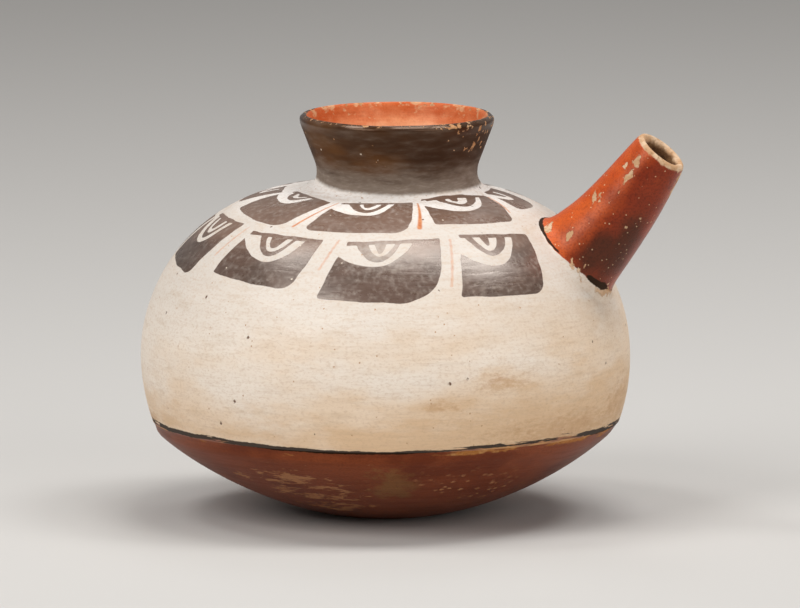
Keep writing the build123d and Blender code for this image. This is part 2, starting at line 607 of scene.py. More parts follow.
@dataclass(frozen=True)
class EyePanel:
    """A dark panel with an eye hung from its brow, in mm from its lower left corner."""

    turn: float
    heel: float
    toe: Pair
    toe_round: float
    brow: Pair
    head: Pair
    bowls: tuple[Bowl, ...]  # white, ring, iris and pupil
    arch: float = 0.4
    lean: float = 0.0  # how far left of the brow's end the left side would meet it
    brow_half: float = 0.95
    brow_round: float = 1.0
    heel_round: float = 1.2
    left_bulge: float = 0.6
    foot_bulge: float = 0.3
    right_bulge: float = 0.3

    def gap(self, across: np.ndarray, up: np.ndarray) -> np.ndarray:
        """Signed distance to the panel's dark paint.

        Args:
            across: Distances to the right of the panel's lower left corner.
            up: Heights over the row's foot.

        Returns:
            Distances in mm, below zero on the paint.
        """
        share = np.clip((across - self.brow[0]) / (self.head[0] - self.brow[0]), 0.0, 1.0)
        lid = self.brow[1] + (self.head[1] - self.brow[1]) * share + 4 * self.arch * share * (1 - share)
        heel, brow_end = (0.0, self.heel), (self.brow[0] - self.lean, self.brow[1])
        left = side_gap(across, up, brow_end, heel, self.left_bulge)
        foot = side_gap(across, up, heel, self.toe, self.foot_bulge)
        right = side_gap(across, up, self.toe, self.head, self.right_bulge)
        outline = round_corner(round_corner(left, foot, self.heel_round), right, self.toe_round)
        top = round_corner(outline, up - lid - self.brow_half, self.brow_round)
        outline = np.maximum(top, outline)
        white, ring, iris, pupil = (bowl.gap(across, up, lid) for bowl in self.bowls)
        brow = np.maximum(np.abs(up - lid) - self.brow_half, self.brow[0] - across)
        brow = np.maximum(brow, across - self.head[0])
        dark = np.maximum(outline, -white)
        for layer in (np.maximum(ring, -iris), pupil, brow):
            dark = np.minimum(dark, layer)
        return dark


@dataclass(frozen=True)
class PanelRow:
    """A row of panels round the shoulder."""

    foot: float  # climb of the row's foot over the widest part, along the skin, in mm
    per_degree: float  # mm round the jar in a degree, at the middle of the row
    panels: tuple[EyePanel, ...]
    middle_turn: float = 15.0  # degrees from a panel's left foot to about its middle
    middle: Pair = (22.0, 15.0)  # about the middle of a panel, across and up
    window: Pair = (40.0, 30.0)  # how far from there its paint is worked out
    far: float = 50.0  # stands for any distance outside the windows

    def gap(self, turns: np.ndarray, climbs: np.ndarray) -> np.ndarray:
        """Signed distance to the row's dark paint.

        Args:
            turns: Turns of points round the jar, in degrees.
            climbs: Their climbs along the skin from the widest part, in mm.

        Returns:
            Distances in mm, below zero on the paint.
        """
        nearest = np.full(turns.shape, self.far)
        rises = climbs - self.foot
        for panel in self.panels:
            turned = turn_between(turns, panel.turn + self.middle_turn) + self.middle_turn
            offs = turned * self.per_degree
            beside = np.abs(offs - self.middle[0]) < self.window[0]
            near = np.flatnonzero(beside & (np.abs(rises - self.middle[1]) < self.window[1]))
            across, up = offs[near], rises[near]
            unsteady = (Wave(0.12, 0.45, 0.31, panel.turn), Wave(0.08, -0.52, 0.93, 2 * panel.turn))
            gap = panel.gap(across, up) + ripple(unsteady, across, up)
            nearest[near] = np.minimum(nearest[near], gap)
        return nearest


@dataclass(frozen=True)
class Stroke:
    """A thin orange brush stroke between two panels, by turn in degrees and climb in mm."""

    top: Pair
    bottom: Pair
    radii: Pair = (0.42, 0.42)
    depth: float = 0.1  # how far inside the stroke is counted, in mm: less leaves it fainter

    def beside(self, turn: float) -> "Stroke":
        """The stroke, moved round the jar by a turn."""
        moved = [(end[0] + turn, end[1]) for end in (self.top, self.bottom)]
        return replace(self, top=moved[0], bottom=moved[1])

    def gap(self, turns: np.ndarray, climbs: np.ndarray, per_degree: float) -> np.ndarray:
        """Signed distance to the stroke.

        Args:
            turns: Turns of points round the jar, in degrees.
            climbs: Their climbs along the skin from the widest part, in mm.
            per_degree: Run round the jar in a degree, in mm.

        Returns:
            Distances in mm, below zero inside the stroke.
        """
        across, up = turn_between(turns, self.top[0]) * per_degree, climbs - self.top[1]
        run = float(turn_between(np.array(self.bottom[0]), self.top[0])) * per_degree
        rise = self.bottom[1] - self.top[1]
        share = np.clip((across * run + up * rise) / (run**2 + rise**2), 0.0, 1.0)
        off = np.hypot(across - share * run, up - share * rise)
        half = self.radii[0] + (self.radii[1] - self.radii[0]) * share
        return np.maximum(off - half, -self.depth)


LOWER_PANELS = (
    EyePanel(
        -90, 0.8, (42, -0.8), 13, (7.5, 26.5), (48.6, 28.4),
        (
            Bowl(-3, 19.7, 36.8, 15.3), Bowl(11.3, 21, 31.2, 17.3),
            Bowl(16.6, 21.5, 29.2, 20.4), Bowl(19.3, 22, 24.7, 21.5),
        ),
    ),
    EyePanel(
        -126, 7.6, (37.5, 3.6), 5, (5.3, 28.4), (45, 27.3),
        (
            Bowl(1.5, 23.5, 37.8, 15.2), Bowl(12.2, 22.7, 32.8, 17.8),
            Bowl(16.2, 23, 30.8, 20), Bowl(18.8, 22.8, 27.9, 21.8),
        ),
        heel_round=0.5,
    ),
    EyePanel(
        -52, 1.4, (33.6, 0.2), 4, (6.9, 29.9), (43, 26.4),
        (
            Bowl(-3, 18.2, 33.6, 13.8), Bowl(9, 18.7, 30.2, 18.6),
            Bowl(12.6, 18.2, 25.6, 21.2), Bowl(16.4, 18.5, 20.8, 23.3),
        ),
        heel_round=0.8, right_bulge=0.1,
    ),
    EyePanel(
        -162, 8.6, (33.5, 4.4), 3, (5.3, 32), (42.6, 31.2),
        (
            Bowl(3.5, 21, 33.8, 17.8), Bowl(9.5, 21, 30.5, 20.4),
            Bowl(12.5, 21, 27.8, 23), Bowl(15.5, 21, 25, 25.2),
        ),
    ),
)
UPPER_PANELS = (
    EyePanel(
        -102, -0.8, (33.2, -0.8), 4, (5.4, 21.8), (39.8, 23.2),
        (
            Bowl(-4, 19.5, 31.2, 10.9), Bowl(9.3, 18.6, 28.3, 13.4),
            Bowl(14.2, 18.8, 25.6, 16), Bowl(16, 18.5, 23.2, 18),
        ),
        heel_round=3,
    ),
    EyePanel(
        -150, 5.2, (32.8, -0.5), 4, (3.4, 27.2), (42.4, 21.4),
        (
            Bowl(-6, 21.5, 29.6, 15.9), Bowl(6.6, 19.5, 27.2, 19.2),
            Bowl(11.2, 19, 25.4, 21.8), Bowl(14.2, 19.5, 23.8, 23.6),
        ),
        arch=1.8, heel_round=0.5,
    ),
    EyePanel(
        -53, 4, (30.4, 1.2), 2, (3.8, 25.4), (41.6, 21.8),
        (
            Bowl(-5, 17.5, 36.6, 12), Bowl(9.2, 19, 34.2, 15.8),
            Bowl(13.4, 19, 28.4, 18.4), Bowl(16.6, 19, 22.4, 21.4),
        ),
        arch=1.9, lean=2.6, heel_round=0.8,
    ),
    # The narrow one beside the spout has a plain eye.
    EyePanel(
        -6, 7, (15, 5), 3, (5.2, 23.2), (26.8, 22.2),
        (Bowl(0.5, 10.6, 15.6, 13.2), *(Bowl(5.6, 10.8, 13.4, 16.2),) * 3),
        heel_round=2,
    ),
)


@dataclass(frozen=True)
class ShoulderPaint:
    """The painted band: two rows of eye panels with thin orange strokes between them."""

    form: JarForm
    lower_row: PanelRow = PanelRow(34, 1.353, LOWER_PANELS)
    upper_row: PanelRow = PanelRow(68.1, 0.893, UPPER_PANELS)
    per_degree: float = 1.1  # mm round the jar in a degree, between the rows
    # Turns of the panels on the far side, and their strokes, from each panel's turn.
    lower_unseen: tuple[float, ...] = (162, 126, 90, 54, 18)
    upper_unseen: tuple[float, ...] = (29, 77, 128, 178)
    repeated: int = 3  # panels of the lower row that come round again there
    lower_stroke: Stroke = Stroke((-0.5, 63), (-3.5, 46))
    upper_stroke: Stroke = Stroke((-1, 92), (-6, 71))
    strokes: tuple[Stroke, ...] = (
        Stroke((-97.8, 90.4), (-107.2, 68.8), (0.45, 0.7), 0.5),
        Stroke((-54.8, 90.8), (-59.7, 70), (0.55, 1.1), 1),
        Stroke((-6.6, 88.6), (-14.3, 74.6), (0.6, 0.5), 0.4),
        Stroke((-125.9, 65), (-129.9, 48.6)),
        Stroke((-87.4, 62.6), (-91, 47.4)),
        Stroke((-50.5, 62.4), (-54.3, 39.9), (0.45, 0.4)),
    )

    def rows(self) -> tuple[PanelRow, PanelRow]:
        """The two rows, with the panels of the far side after those of the near side.

        Returns:
            The lower and the upper row.
        """
        near, above = self.lower_row.panels, self.upper_row.panels
        far = [replace(near[i % self.repeated], turn=turn) for i, turn in enumerate(self.lower_unseen)]
        far_above = [replace(panel, turn=turn) for panel, turn in zip(above, self.upper_unseen)]
        lower = replace(self.lower_row, panels=(*near, *far))
        return lower, replace(self.upper_row, panels=(*above, *far_above))

    def all_strokes(self) -> tuple[Stroke, ...]:
        """The strokes in view, and those between the panels on the far side.

        Returns:
            The strokes.
        """
        turns = (self.lower_row.panels[-1].turn, *self.lower_unseen[:-1])
        lower = [self.lower_stroke.beside(turn) for turn in turns]
        upper = [self.upper_stroke.beside(turn) for turn in self.upper_unseen]
        return (*self.strokes, *lower, *upper)

    def marks(self, points: np.ndarray) -> dict[Mark, np.ndarray]:
        """Distances to the dark and the orange paint.

        Args:
            points: Points on the shoulder, in mm.

        Returns:
            The two marks.
        """
        turns = turns_of(points)
        run = radii_of(points) - self.form.shoulder_radius
        climbs = self.form.shoulder_arc * np.arctan2(points[:, 2] - self.form.equator, run)
        strokes = [stroke.gap(turns, climbs, self.per_degree) for stroke in self.all_strokes()]
        dark = np.minimum(*(row.gap(turns, climbs) for row in self.rows()))
        return {Mark.DARK: dark, Mark.ORANGE: np.min(strokes, axis=0)}


@dataclass(frozen=True)
class SpoutAxis:
    """Where the spout stands, in mm."""

    foot: Vector
    along: Vector
    form: JarForm

    @classmethod
    def from_frame(cls, form: JarForm) -> "SpoutAxis":
        """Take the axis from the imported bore, and the foot from where it meets the shoulder.

        Args:
            form: The body's section.

        Returns:
            The axis.
        """
        bore = next(mount for mount in frame["record"]["mounts"] if mount["name"] == "spout_bore")
        along = Vector(bore["axis"]).normalized()
        point = Vector(bore["pos_m"]) / MM
        for _ in range(30):  # steps, each of which comes closer to the skin
            point = point - along * float(form.dome_gap(np.array([point]))[0])
        return cls(point, along, form)

    def outwards(self, points: np.ndarray) -> np.ndarray:
        """Move points from the spout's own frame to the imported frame.

        Args:
            points: Points by distance down and away from the jar, across, and along the axis.

        Returns:
            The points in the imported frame.
        """
        across = Vector((0.0, 1.0, 0.0))
        basis = np.array([across.cross(self.along), across, self.along])
        return points @ basis + np.array(self.foot)

    def drop(self, points: np.ndarray) -> np.ndarray:
        """How far along the axis the shoulder lies.

        Args:
            points: Points of the spout's own frame.

        Returns:
            Distances in mm beside each point.
        """
        at = points.copy()
        at[:, 2] = 0.0
        slant = 0.95  # about how fast the gap to the skin grows along the axis
        for _ in range(12):
            at[:, 2] -= self.form.dome_gap(self.outwards(at)) / slant
        return at[:, 2]


@dataclass
class Coat:
    """One coat of a finish: colour, roughness, and height in mm for its relief."""

    colour: Socket
    roughness: Socket
    height: Socket


class Nodes:
    """The nodes of a material or world."""

    def __init__(self, tree: bpy.types.NodeTree) -> None:
        """Start with no nodes."""
        self.tree = tree
        self.tree.nodes.clear()

    def add(
        self, kind: str, inputs: dict[str | int, Any], output: str = "", **settings: Any
    ) -> Socket | None:
        """Add a node with its settings, its values and its links.

        Args:
            kind: The node's type, without the words that all shader nodes start with.
            inputs: Values and sockets for its inputs, by name or number.
            output: Name of the output wanted; otherwise it is the first one in use.
            settings: Properties of the node itself.

        Returns:
            That output's socket, if the node has one.
        """
        node = self.tree.nodes.new("ShaderNode" + kind)
        for name, value in settings.items():
            setattr(node, name, value)
        for key, value in inputs.items():
            if isinstance(value, Socket):
                self.tree.links.new(value, node.inputs[key])
            else:
                node.inputs[key].default_value = value
        used = (socket for socket in node.outputs if socket.enabled)
        return next((socket for socket in used if output in ("", socket.name)), None)


class Finish(Nodes):
    """A material under way: its patterns, its coats and its shader."""

    edge_grain = 2.2  # breadth of the ragged bits along a painted edge, in mm
    speck_grain = 1.5  # ragged bits to a speck's half breadth
    speck_wander = 1.6  # how far they move its edge, in half breadths
    speck_soft = 0.2  # half breadth of its edge, in half breadths of the speck

    def __init__(self, name: str, *marks: Mark) -> None:
        """Start a material.

        Args:
            name: The real material and how its surface was made.
            marks: The marks of its mesh that it reads.
        """
        self.material = bpy.data.materials.new(name)
        self.material.use_nodes = True
        super().__init__(self.material.node_tree)
        self.at = self.add("TexCoord", {}, "Object")
        self.marks = {mark: self.add("Attribute", {}, "Fac", attribute_name=mark.value) for mark in marks}

    def patches(
        self,
        size: float,
        cut: float,
        soft: float,
        amount: float = 1.0,
        flat: tuple[float, float, float] = (1, 1, 1),
        detail: float = 4.0,
        rough: float = 0.5,
        lift: Mark | Socket | None = None,
        by: float = 1.0,
    ) -> Socket:
        """Mask of ragged patches, cut from a cloud of a real size.

        Args:
            size: Typical breadth of a patch in mm.
            cut: Level of the cloud, from 0 to 1, at the patches' edge; a higher one leaves fewer.
            soft: Half breadth of the edge, in levels of the cloud.
            amount: The mask's value inside the patches.
            flat: Stretch of the patches along X, Y and Z.
            detail: Octaves of finer raggedness.
            rough: Weight of the finer octaves.
            lift: Raises the cloud in places, for more patches there.
            by: How much it raises it.

        Returns:
            The mask.
        """
        scale = [1.0 / (size * MM * stretch) for stretch in flat]
        mapped = self.add("Mapping", {"Vector": self.at, "Scale": scale})
        cloud = {"Vector": mapped, "Scale": 1.0, "Detail": detail, "Roughness": rough}
        level = self.add("TexNoise", cloud)
        if lift is not None:
            source = self.marks[lift] if isinstance(lift, Mark) else lift
            level = self.add("Math", {0: source, 1: by, 2: level}, operation="MULTIPLY_ADD")
        edge = {"Value": level, "From Min": cut - soft, "From Max": cut + soft, "To Max": amount}
        return self.add("MapRange", edge, interpolation_type="SMOOTHSTEP")

    def specks(self, size: float, spacing: float, share: float, flat: float = 1.0) -> Socket:
        """Mask of small specks.

        Args:
            size: Breadth of the largest specks in mm.
            spacing: Typical distance between places for a speck in mm.
            share: Share of those places that have one.
            flat: How much shorter they are in height than in breadth.

        Returns:
            The mask.
        """
        scale = 1.0 / (spacing * MM)
        mapped = self.add("Mapping", {"Vector": self.at, "Scale": (scale, scale, scale * flat)})
        near = self.add("TexVoronoi", {"Vector": mapped, "Scale": 1.0})
        draw = self.add("SeparateColor", {"Color": near.node.outputs["Color"]})
        chosen = self.add("Math", {0: draw, 1: share}, operation="LESS_THAN")
        half = size / spacing / 2
        bits = {"Vector": mapped, "Scale": self.speck_grain / half, "Detail": 2.0}
        wander = {0: self.add("TexNoise", bits), 1: -self.speck_wander * half, 2: near}
        ragged = self.add("Math", wander, operation="MULTIPLY_ADD")
        soft = self.speck_soft * half
        edge = {"Value": ragged, "From Min": soft, "From Max": -soft, "To Max": chosen}
        return self.add("MapRange", edge)

    def painted(
        self, gap: Mark, ragged: float, soft: float, edge: float = 0.0, beyond: bool = False
    ) -> Socket:
        """Mask of brushed slip from a distance in mm.

        Args:
            gap: The distance.
            ragged: How far the edge wanders in mm.
            soft: Half breadth of the edge in mm.
            edge: Distance at which the slip ends.
            beyond: Whether the slip lies beyond the edge.

        Returns:
            The mask.
        """
        bits = {"Vector": self.at, "Scale": 1.0 / (self.edge_grain * MM), "Detail": 3.0}
        wander = {0: self.add("TexNoise", bits), 1: -2.0 * ragged, 2: self.marks[gap]}
        moved = self.add("Math", wander, operation="MULTIPLY_ADD")
        near = soft if beyond else -soft
        ends = {"Value": moved, "From Min": edge - ragged - near, "From Max": edge - ragged + near}
        return self.add("MapRange", ends, interpolation_type="SMOOTHSTEP")

    def along(self, axis: Axis, start: float, end: float, amount: float) -> Socket:
        """Mask that grows from one place on the jar to another.

        Args:
            axis: The direction in which it grows or falls.
            start: Where it is none, in mm.
            end: Where it is full, in mm.
            amount: The mask's full value.

        Returns:
            The mask.
        """
        place = self.add("SeparateXYZ", {0: self.at}, axis.value)
        ends = {"Value": place, "From Min": start * MM, "From Max": end * MM, "To Max": amount}
        return self.add("MapRange", ends)

    def tinted(self, ground: str, *tints: tuple[Socket, str]) -> Socket:
        """Colour of a coat: a ground colour with tints over it.

        Args:
            ground: Hex colour of the ground.
            tints: Masks and hex colours, from the bottom up.

        Returns:
            The colour.
        """
        colour: Any = linear(ground)
        for mask, code in tints:
            colour = self.add("Mix", {0: mask, 6: colour, 7: linear(code)}, data_type="RGBA")
        return colour

    def skin(
        self,
        colour: Socket,
        gloss: tuple[Socket, float, float],
        base: float,
        *reliefs: tuple[Socket, float],
    ) -> Coat:
        """Join a coat's colour with its roughness and its relief.

        Args:
            colour: The colour.
            gloss: A mask, and the roughness where it is none and where it is full.
            base: Height of the coat in mm.
            reliefs: Masks, and how far each raises the coat in mm.

        Returns:
            The coat.
        """
        rough = self.add("MapRange", {"Value": gloss[0], "To Min": gloss[1], "To Max": gloss[2]})
        height: Any = base
        for mask, rise in reliefs:
            height = self.add("Math", {0: mask, 1: rise, 2: height}, operation="MULTIPLY_ADD")
        return Coat(colour, rough, height)

    def lay(self, under: Coat, over: Coat, mask: Socket) -> Coat:
        """Lay one coat over another.

        Args:
            under: The coat below.
            over: The coat on top.
            mask: Where the upper one lies.

        Returns:
            The two coats together.
        """
        return Coat(
            self.add("Mix", {0: mask, 6: under.colour, 7: over.colour}, data_type="RGBA"),
            self.add("Mix", {0: mask, 2: under.roughness, 3: over.roughness}),
            self.add("Mix", {0: mask, 2: under.height, 3: over.height}),
        )

    def done(self, coat: Coat, ior: float, sheen: str) -> Material:
        """Join the last coat to the shader.

        Args:
            coat: All coats together.
            ior: Refractive index of the burnished skin.
            sheen: Hex colour of its gloss.

        Returns:
            The finished material.
        """
        bump = self.add("Bump", {"Height": coat.height, "Distance": MM, "Strength": 1.0})
        values = {"Base Color": coat.colour, "Roughness": coat.roughness, "Normal": bump}
        values.update({"IOR": ior, "Specular Tint": linear(sheen)})
        self.add("OutputMaterial", {"Surface": self.add("BsdfPrincipled", values)})
        return self.material


@dataclass(frozen=True)
class CreamSlip:
    """White clay slip, stroked smooth with a pebble and fired: semi-matt, grainy, with level streaks."""

    ground: str = "#F0E4D6"
    warm: str = "#E8CFB3"
    tan: str = "#DAB68C"
    # painted shade: the shoulder's cream is greyed towards the top, where the lamps light it most
    shoulder: str = "#CFC8C0"
    # painted highlight: the cream under the neck is lightened as the sheen of the top lamps
    pale: str = "#F3EDE7"
    grain: str = "#C2A181"
    smudge: str = "#C3A684"
    fleck: str = "#B98F68"
    pit: str = "#66452E"
    roughness: Pair = (0.76, 0.52)  # between the pebble's facets, and on them

    def coat(self, look: Finish) -> Coat:
        """Build the coat, tanner towards the base and towards the spout's side, greyed on the shoulder as
        painted shade, and lightened under the neck as a painted highlight.

        Args:
            look: The material.

        Returns:
            The coat.
        """
        aside = look.along(Axis.SPOUT, -20, 90, 0.22)
        fall = look.along(Axis.UP, 64, 36, 0.36)
        more = look.add("Math", {0: aside, 1: 3.0, 2: 1.0}, operation="MULTIPLY_ADD")
        side_and_foot_tan = look.add("Math", {0: fall, 1: more, 2: aside}, operation="MULTIPLY_ADD")
        stroke = look.patches(1.4, 0.62, 0.14, 0.32, (9, 9, 0.8), 6, 0.7, side_and_foot_tan, 0.12)
        facet = look.patches(5, 0.5, 0.3, 1, (5, 5, 0.9), 2)
        grain = look.patches(0.9, 0.58, 0.12, 0.32, (1.5, 1.5, 0.9), 3, 0.6)
        pits = look.specks(1.3, 7, 0.45, 0.8)
        colour = look.tinted(
            self.ground,
            (look.patches(26, 0.64, 0.2, 0.9, (1.5, 1.5, 0.7), 5, 0.6, side_and_foot_tan), self.warm),
            (look.patches(14, 0.84, 0.16, 0.8, (1.8, 1.8, 0.6), 6, 0.6, side_and_foot_tan), self.tan),
            # painted shade on the upper shoulder
            (look.along(Axis.UP, 72, 106, 0.8), self.shoulder),
            # painted highlight: the sheen of the top lamps under the neck
            (look.along(Axis.UP, 118, 124.5, 0.95), self.pale),
            (stroke, self.grain),
            (grain, self.grain),
            (look.patches(9, 0.62, 0.1, 0.32, (2, 2, 0.6), 6, 0.68), self.smudge),
            (look.specks(0.8, 3.2, 0.3), self.fleck),
            (pits, self.pit),
        )
        reliefs = ((pits, -0.15), (facet, 0.1), (grain, -0.06))
        return look.skin(colour, (facet, *self.roughness), 0.0, *reliefs)


@dataclass(frozen=True)
class UmberSlip:
    """Iron and manganese slip, brushed on and burnished: brown-black, mottled, with a streaky gloss."""

    ground: str = "#443126"
    brown: str = "#593D2E"
    thin: str = "#75625A"
    grain: str = "#75625A"
    sheer: str = "#8E705F"
    fleck: str = "#DFD0BC"
    roughness: float = 0.24
    relief: float = 0.05  # height of the burnishing strokes, in mm

    def coat(self, look: Finish, thinness: float, sheer: Socket | None = None) -> Coat:
        """Build the coat.

        Args:
            look: The material.
            thinness: How much of the ground shows through, from 0 to 1.
            sheer: Mask of the places where it was brushed out thinnest.

        Returns:
            The coat.
        """
        grain = look.patches(0.8, 0.58, 0.14, 0.4 * thinness, (3, 3, 0.8))
        stroke = look.patches(2.4, 0.5, 0.25, 1, (6, 6, 0.8), 3)
        tints = [
            (look.patches(22, 0.5, 0.14, 0.8, (1.4, 1.4, 0.7)), self.brown),
            (look.patches(12, 0.54, 0.25, thinness, (2, 2, 0.7), 3), self.thin),
            (grain, self.grain),
            (look.specks(0.9, 6, 0.3), self.fleck),
        ]
        if sheer is not None:
            tints.insert(2, (sheer, self.sheer))
        gloss = (stroke, self.roughness, self.roughness + 0.1)
        colour = look.tinted(self.ground, *tints)
        return look.skin(colour, gloss, 0.05, (grain, -0.02), (stroke, self.relief))


@dataclass(frozen=True)
class RedSlip:
    """Red ochre slip, burnished level: brown-red to orange with a soft gloss, scuffed to the clay."""

    ground: str = "#6A2E17"
    bright: str = "#8A4526"
    dark: str = "#4A1F10"
    scuff: str = "#B5815A"
    roughness: float = 0.42
    streak: float = 0.15  # strength of the level burnishing streaks, from 0 to 1
    grit: float = 0.3  # strength of the fine dark grain, from 0 to 1

    def coat(self, look: Finish, scuffs: Socket) -> Coat:
        """Build the coat.

        Args:
            look: The material.
            scuffs: Mask of the places rubbed to the clay.

        Returns:
            The coat.
        """
        streak = look.patches(2.6, 0.55, 0.14, self.streak, (8, 8, 0.5), 5)
        grain = look.patches(0.8, 0.56, 0.14, self.grit, detail=5)
        colour = look.tinted(
            self.ground,
            (look.patches(30, 0.5, 0.14, 0.75, (1.5, 1.5, 0.6)), self.bright),
            (look.patches(6, 0.56, 0.12, 0.5, (1.8, 1.8, 0.7), 8, 0.62), self.bright),
            (streak, self.dark),
            (grain, self.dark),
            (scuffs, self.scuff),
        )
        bare = look.add("Math", {0: streak, 1: scuffs}, operation="MAXIMUM")
        gloss = (bare, self.roughness, self.roughness + 0.3)
        return look.skin(colour, gloss, 0.04, (bare, -0.1), (grain, -0.06))


@dataclass(frozen=True)
class BareClay:
    """Fired clay where the slip is gone: tan, matt and a little grainy."""

    ground: str
    pale: str
    dark: str
    roughness: Pair = (0.78, 0.9)

    def coat(self, look: Finish) -> Coat:
        """Build the coat.

        Args:
            look: The material.

        Returns:
            The coat, which lies lower than the slips.
        """
        pale = look.patches(4, 0.52, 0.12, 0.8)
        dark = look.patches(1.4, 0.6, 0.1, 0.6)
        grain = look.patches(0.5, 0.5, 0.3)
        colour = look.tinted(self.ground, (pale, self.pale), (dark, self.dark))
        return look.skin(colour, (grain, *self.roughness), -0.14, (grain, 0.1))


@dataclass(frozen=True)
class Wash:
    """A thin wash or stain, which leaves the gloss and the relief of the slip under it."""

    thin: str
    thick: str
    patch: tuple[float, float, float, float]  # size, cut, soft edge and amount of the thicker patches

    def coat(self, look: Finish, under: Coat) -> Coat:
        """Build the coat over the one that it colours."""
        thick = look.patches(*self.patch)
        return replace(under, colour=look.tinted(self.thin, (thick, self.thick)))


ORANGE_WASH = Wash("#D98F55", "#BC5F22", (2.5, 0.5, 0.2, 0.9))
BROWN_STAIN = Wash("#C49A6C", "#B07C4C", (5, 0.55, 0.1, 0.7))
BLACK_LINE = UmberSlip("#1E1108", "#2A190D", "#4A3626", "#38281A", roughness=0.9)
BASE_RED = RedSlip()
BASE_CLOUD = RedSlip("#7A4B27", "#8C6036", "#553218", "#B0905C")
BASE_CLAY = BareClay("#B5793F", "#CF9C62", "#8E5429")
CORNER_RED = RedSlip(scuff="#C08A50")
NECK_UMBER = UmberSlip("#2E180B", "#3F2411", "#4C3625", "#3F2A1B", relief=0.015)
NECK_OLIVE = UmberSlip("#552F12", "#63401E", "#6C5036", "#5E422A", relief=0.015)
# grey of the neck's foot: rubbing, and a painted sheen
NECK_GREY_WEAR_AND_SHEEN = UmberSlip("#796A5E", "#837568", "#95887C", "#AFA398", relief=0.015)
NECK_RED = RedSlip("#CC5C28", "#DE7E4C", "#B44E22", "#DDB084", 0.36, 0.25)
# paler red: a painted highlight inside the mouth
NECK_RED_SHEEN = RedSlip("#E8996A", "#F0AC80", "#D27C4E", "#DDB084", 0.32, 0.25)
NECK_CLAY = BareClay("#BE8A5E", "#D6AC84", "#8F5F38")
SPOUT_RED = RedSlip("#CC5220", "#DC6830", "#A8401C", "#E0BE98", 0.32, 0.1, 0.6)
SPOUT_MAROON = RedSlip("#76220F", "#8C3216", "#561708", "#D0A680", 0.32, 0.1, 0.6)
SPOUT_SOOT = RedSlip("#34190F", "#442013", "#26130C", "#B59878", 0.36, 0.1, 0.6)
SPOUT_CLAY = BareClay("#C79D76", "#DFC2A2", "#9C7450")
BORE_CLAY = BareClay("#5C3D24", "#7A5836", "#2E1D10")


def paint_band(look: Finish, under: Coat) -> Coat:
    """Lay the orange strokes and the umber panels of the shoulder.

    Args:
        look: The material.
        under: The cream slip.

    Returns:
        The coats together.
    """
    strokes = look.painted(Mark.ORANGE, 0.12, 0.42, -0.12)
    coat = look.lay(under, ORANGE_WASH.coat(look, under), strokes)
    high = look.along(Axis.UP, 106, 112, 0.58)
    sheer = look.patches(9, 0.82, 0.3, 0.6, (1.5, 1.5, 0.8), lift=high)
    cover = look.painted(Mark.DARK, 0.2, 0.14)
    if Mark.RUB in look.marks:
        # cream shows through the umber where it was brushed thin, and on one eye as a painted sheen
        rubbed_and_sheen = look.patches(2, 0.8, 0.4, 0.55, lift=Mark.RUB, by=0.5)
        cover = look.add("Math", {0: cover, 1: rubbed_and_sheen}, operation="SUBTRACT", use_clamp=True)
    return look.lay(coat, UmberSlip().coat(look, 0.4, sheer), cover)


@dataclass(frozen=True)
class CornerLine:
    """The black line brushed along the corner."""

    # Turn, height of the line's middle over the corner, and half its breadth.
    places: tuple[tuple[float, float, float], ...] = (
        (-180, 1, 0.95), (-142, 1.4, 0.95), (-129, 1, 0.9), (-116, 1.2, 0.85), (-103, 0.7, 0.85),
        (-89, -0.1, 0.8), (-69, 0, 0.65), (-57, 0.6, 0.55), (-44, 1.6, 0.75), (-24, 1.8, 1),
        (-11, 1.1, 1.1), (4, 0.9, 1.05), (180, 1, 0.95),
    )
    waves: tuple[Wave, ...] = (Wave(0.16, 11), Wave(0.1, 27, 0, math.radians(60)))

    def marks(self, turns: np.ndarray, rises: np.ndarray) -> dict[Mark, np.ndarray]:
        """Distances to the line.

        Args:
            turns: Turns of points round the jar, in degrees.
            rises: Their heights over the corner, in mm.

        Returns:
            Heights over the line's middle, and distances to its edge.
        """
        turn, height, half = zip(*self.places)
        over = rises - np.interp(turns, turn, height) - ripple(self.waves, np.radians(turns))
        return {Mark.RISE: over, Mark.LINE: np.abs(over) - np.interp(turns, turn, half)}


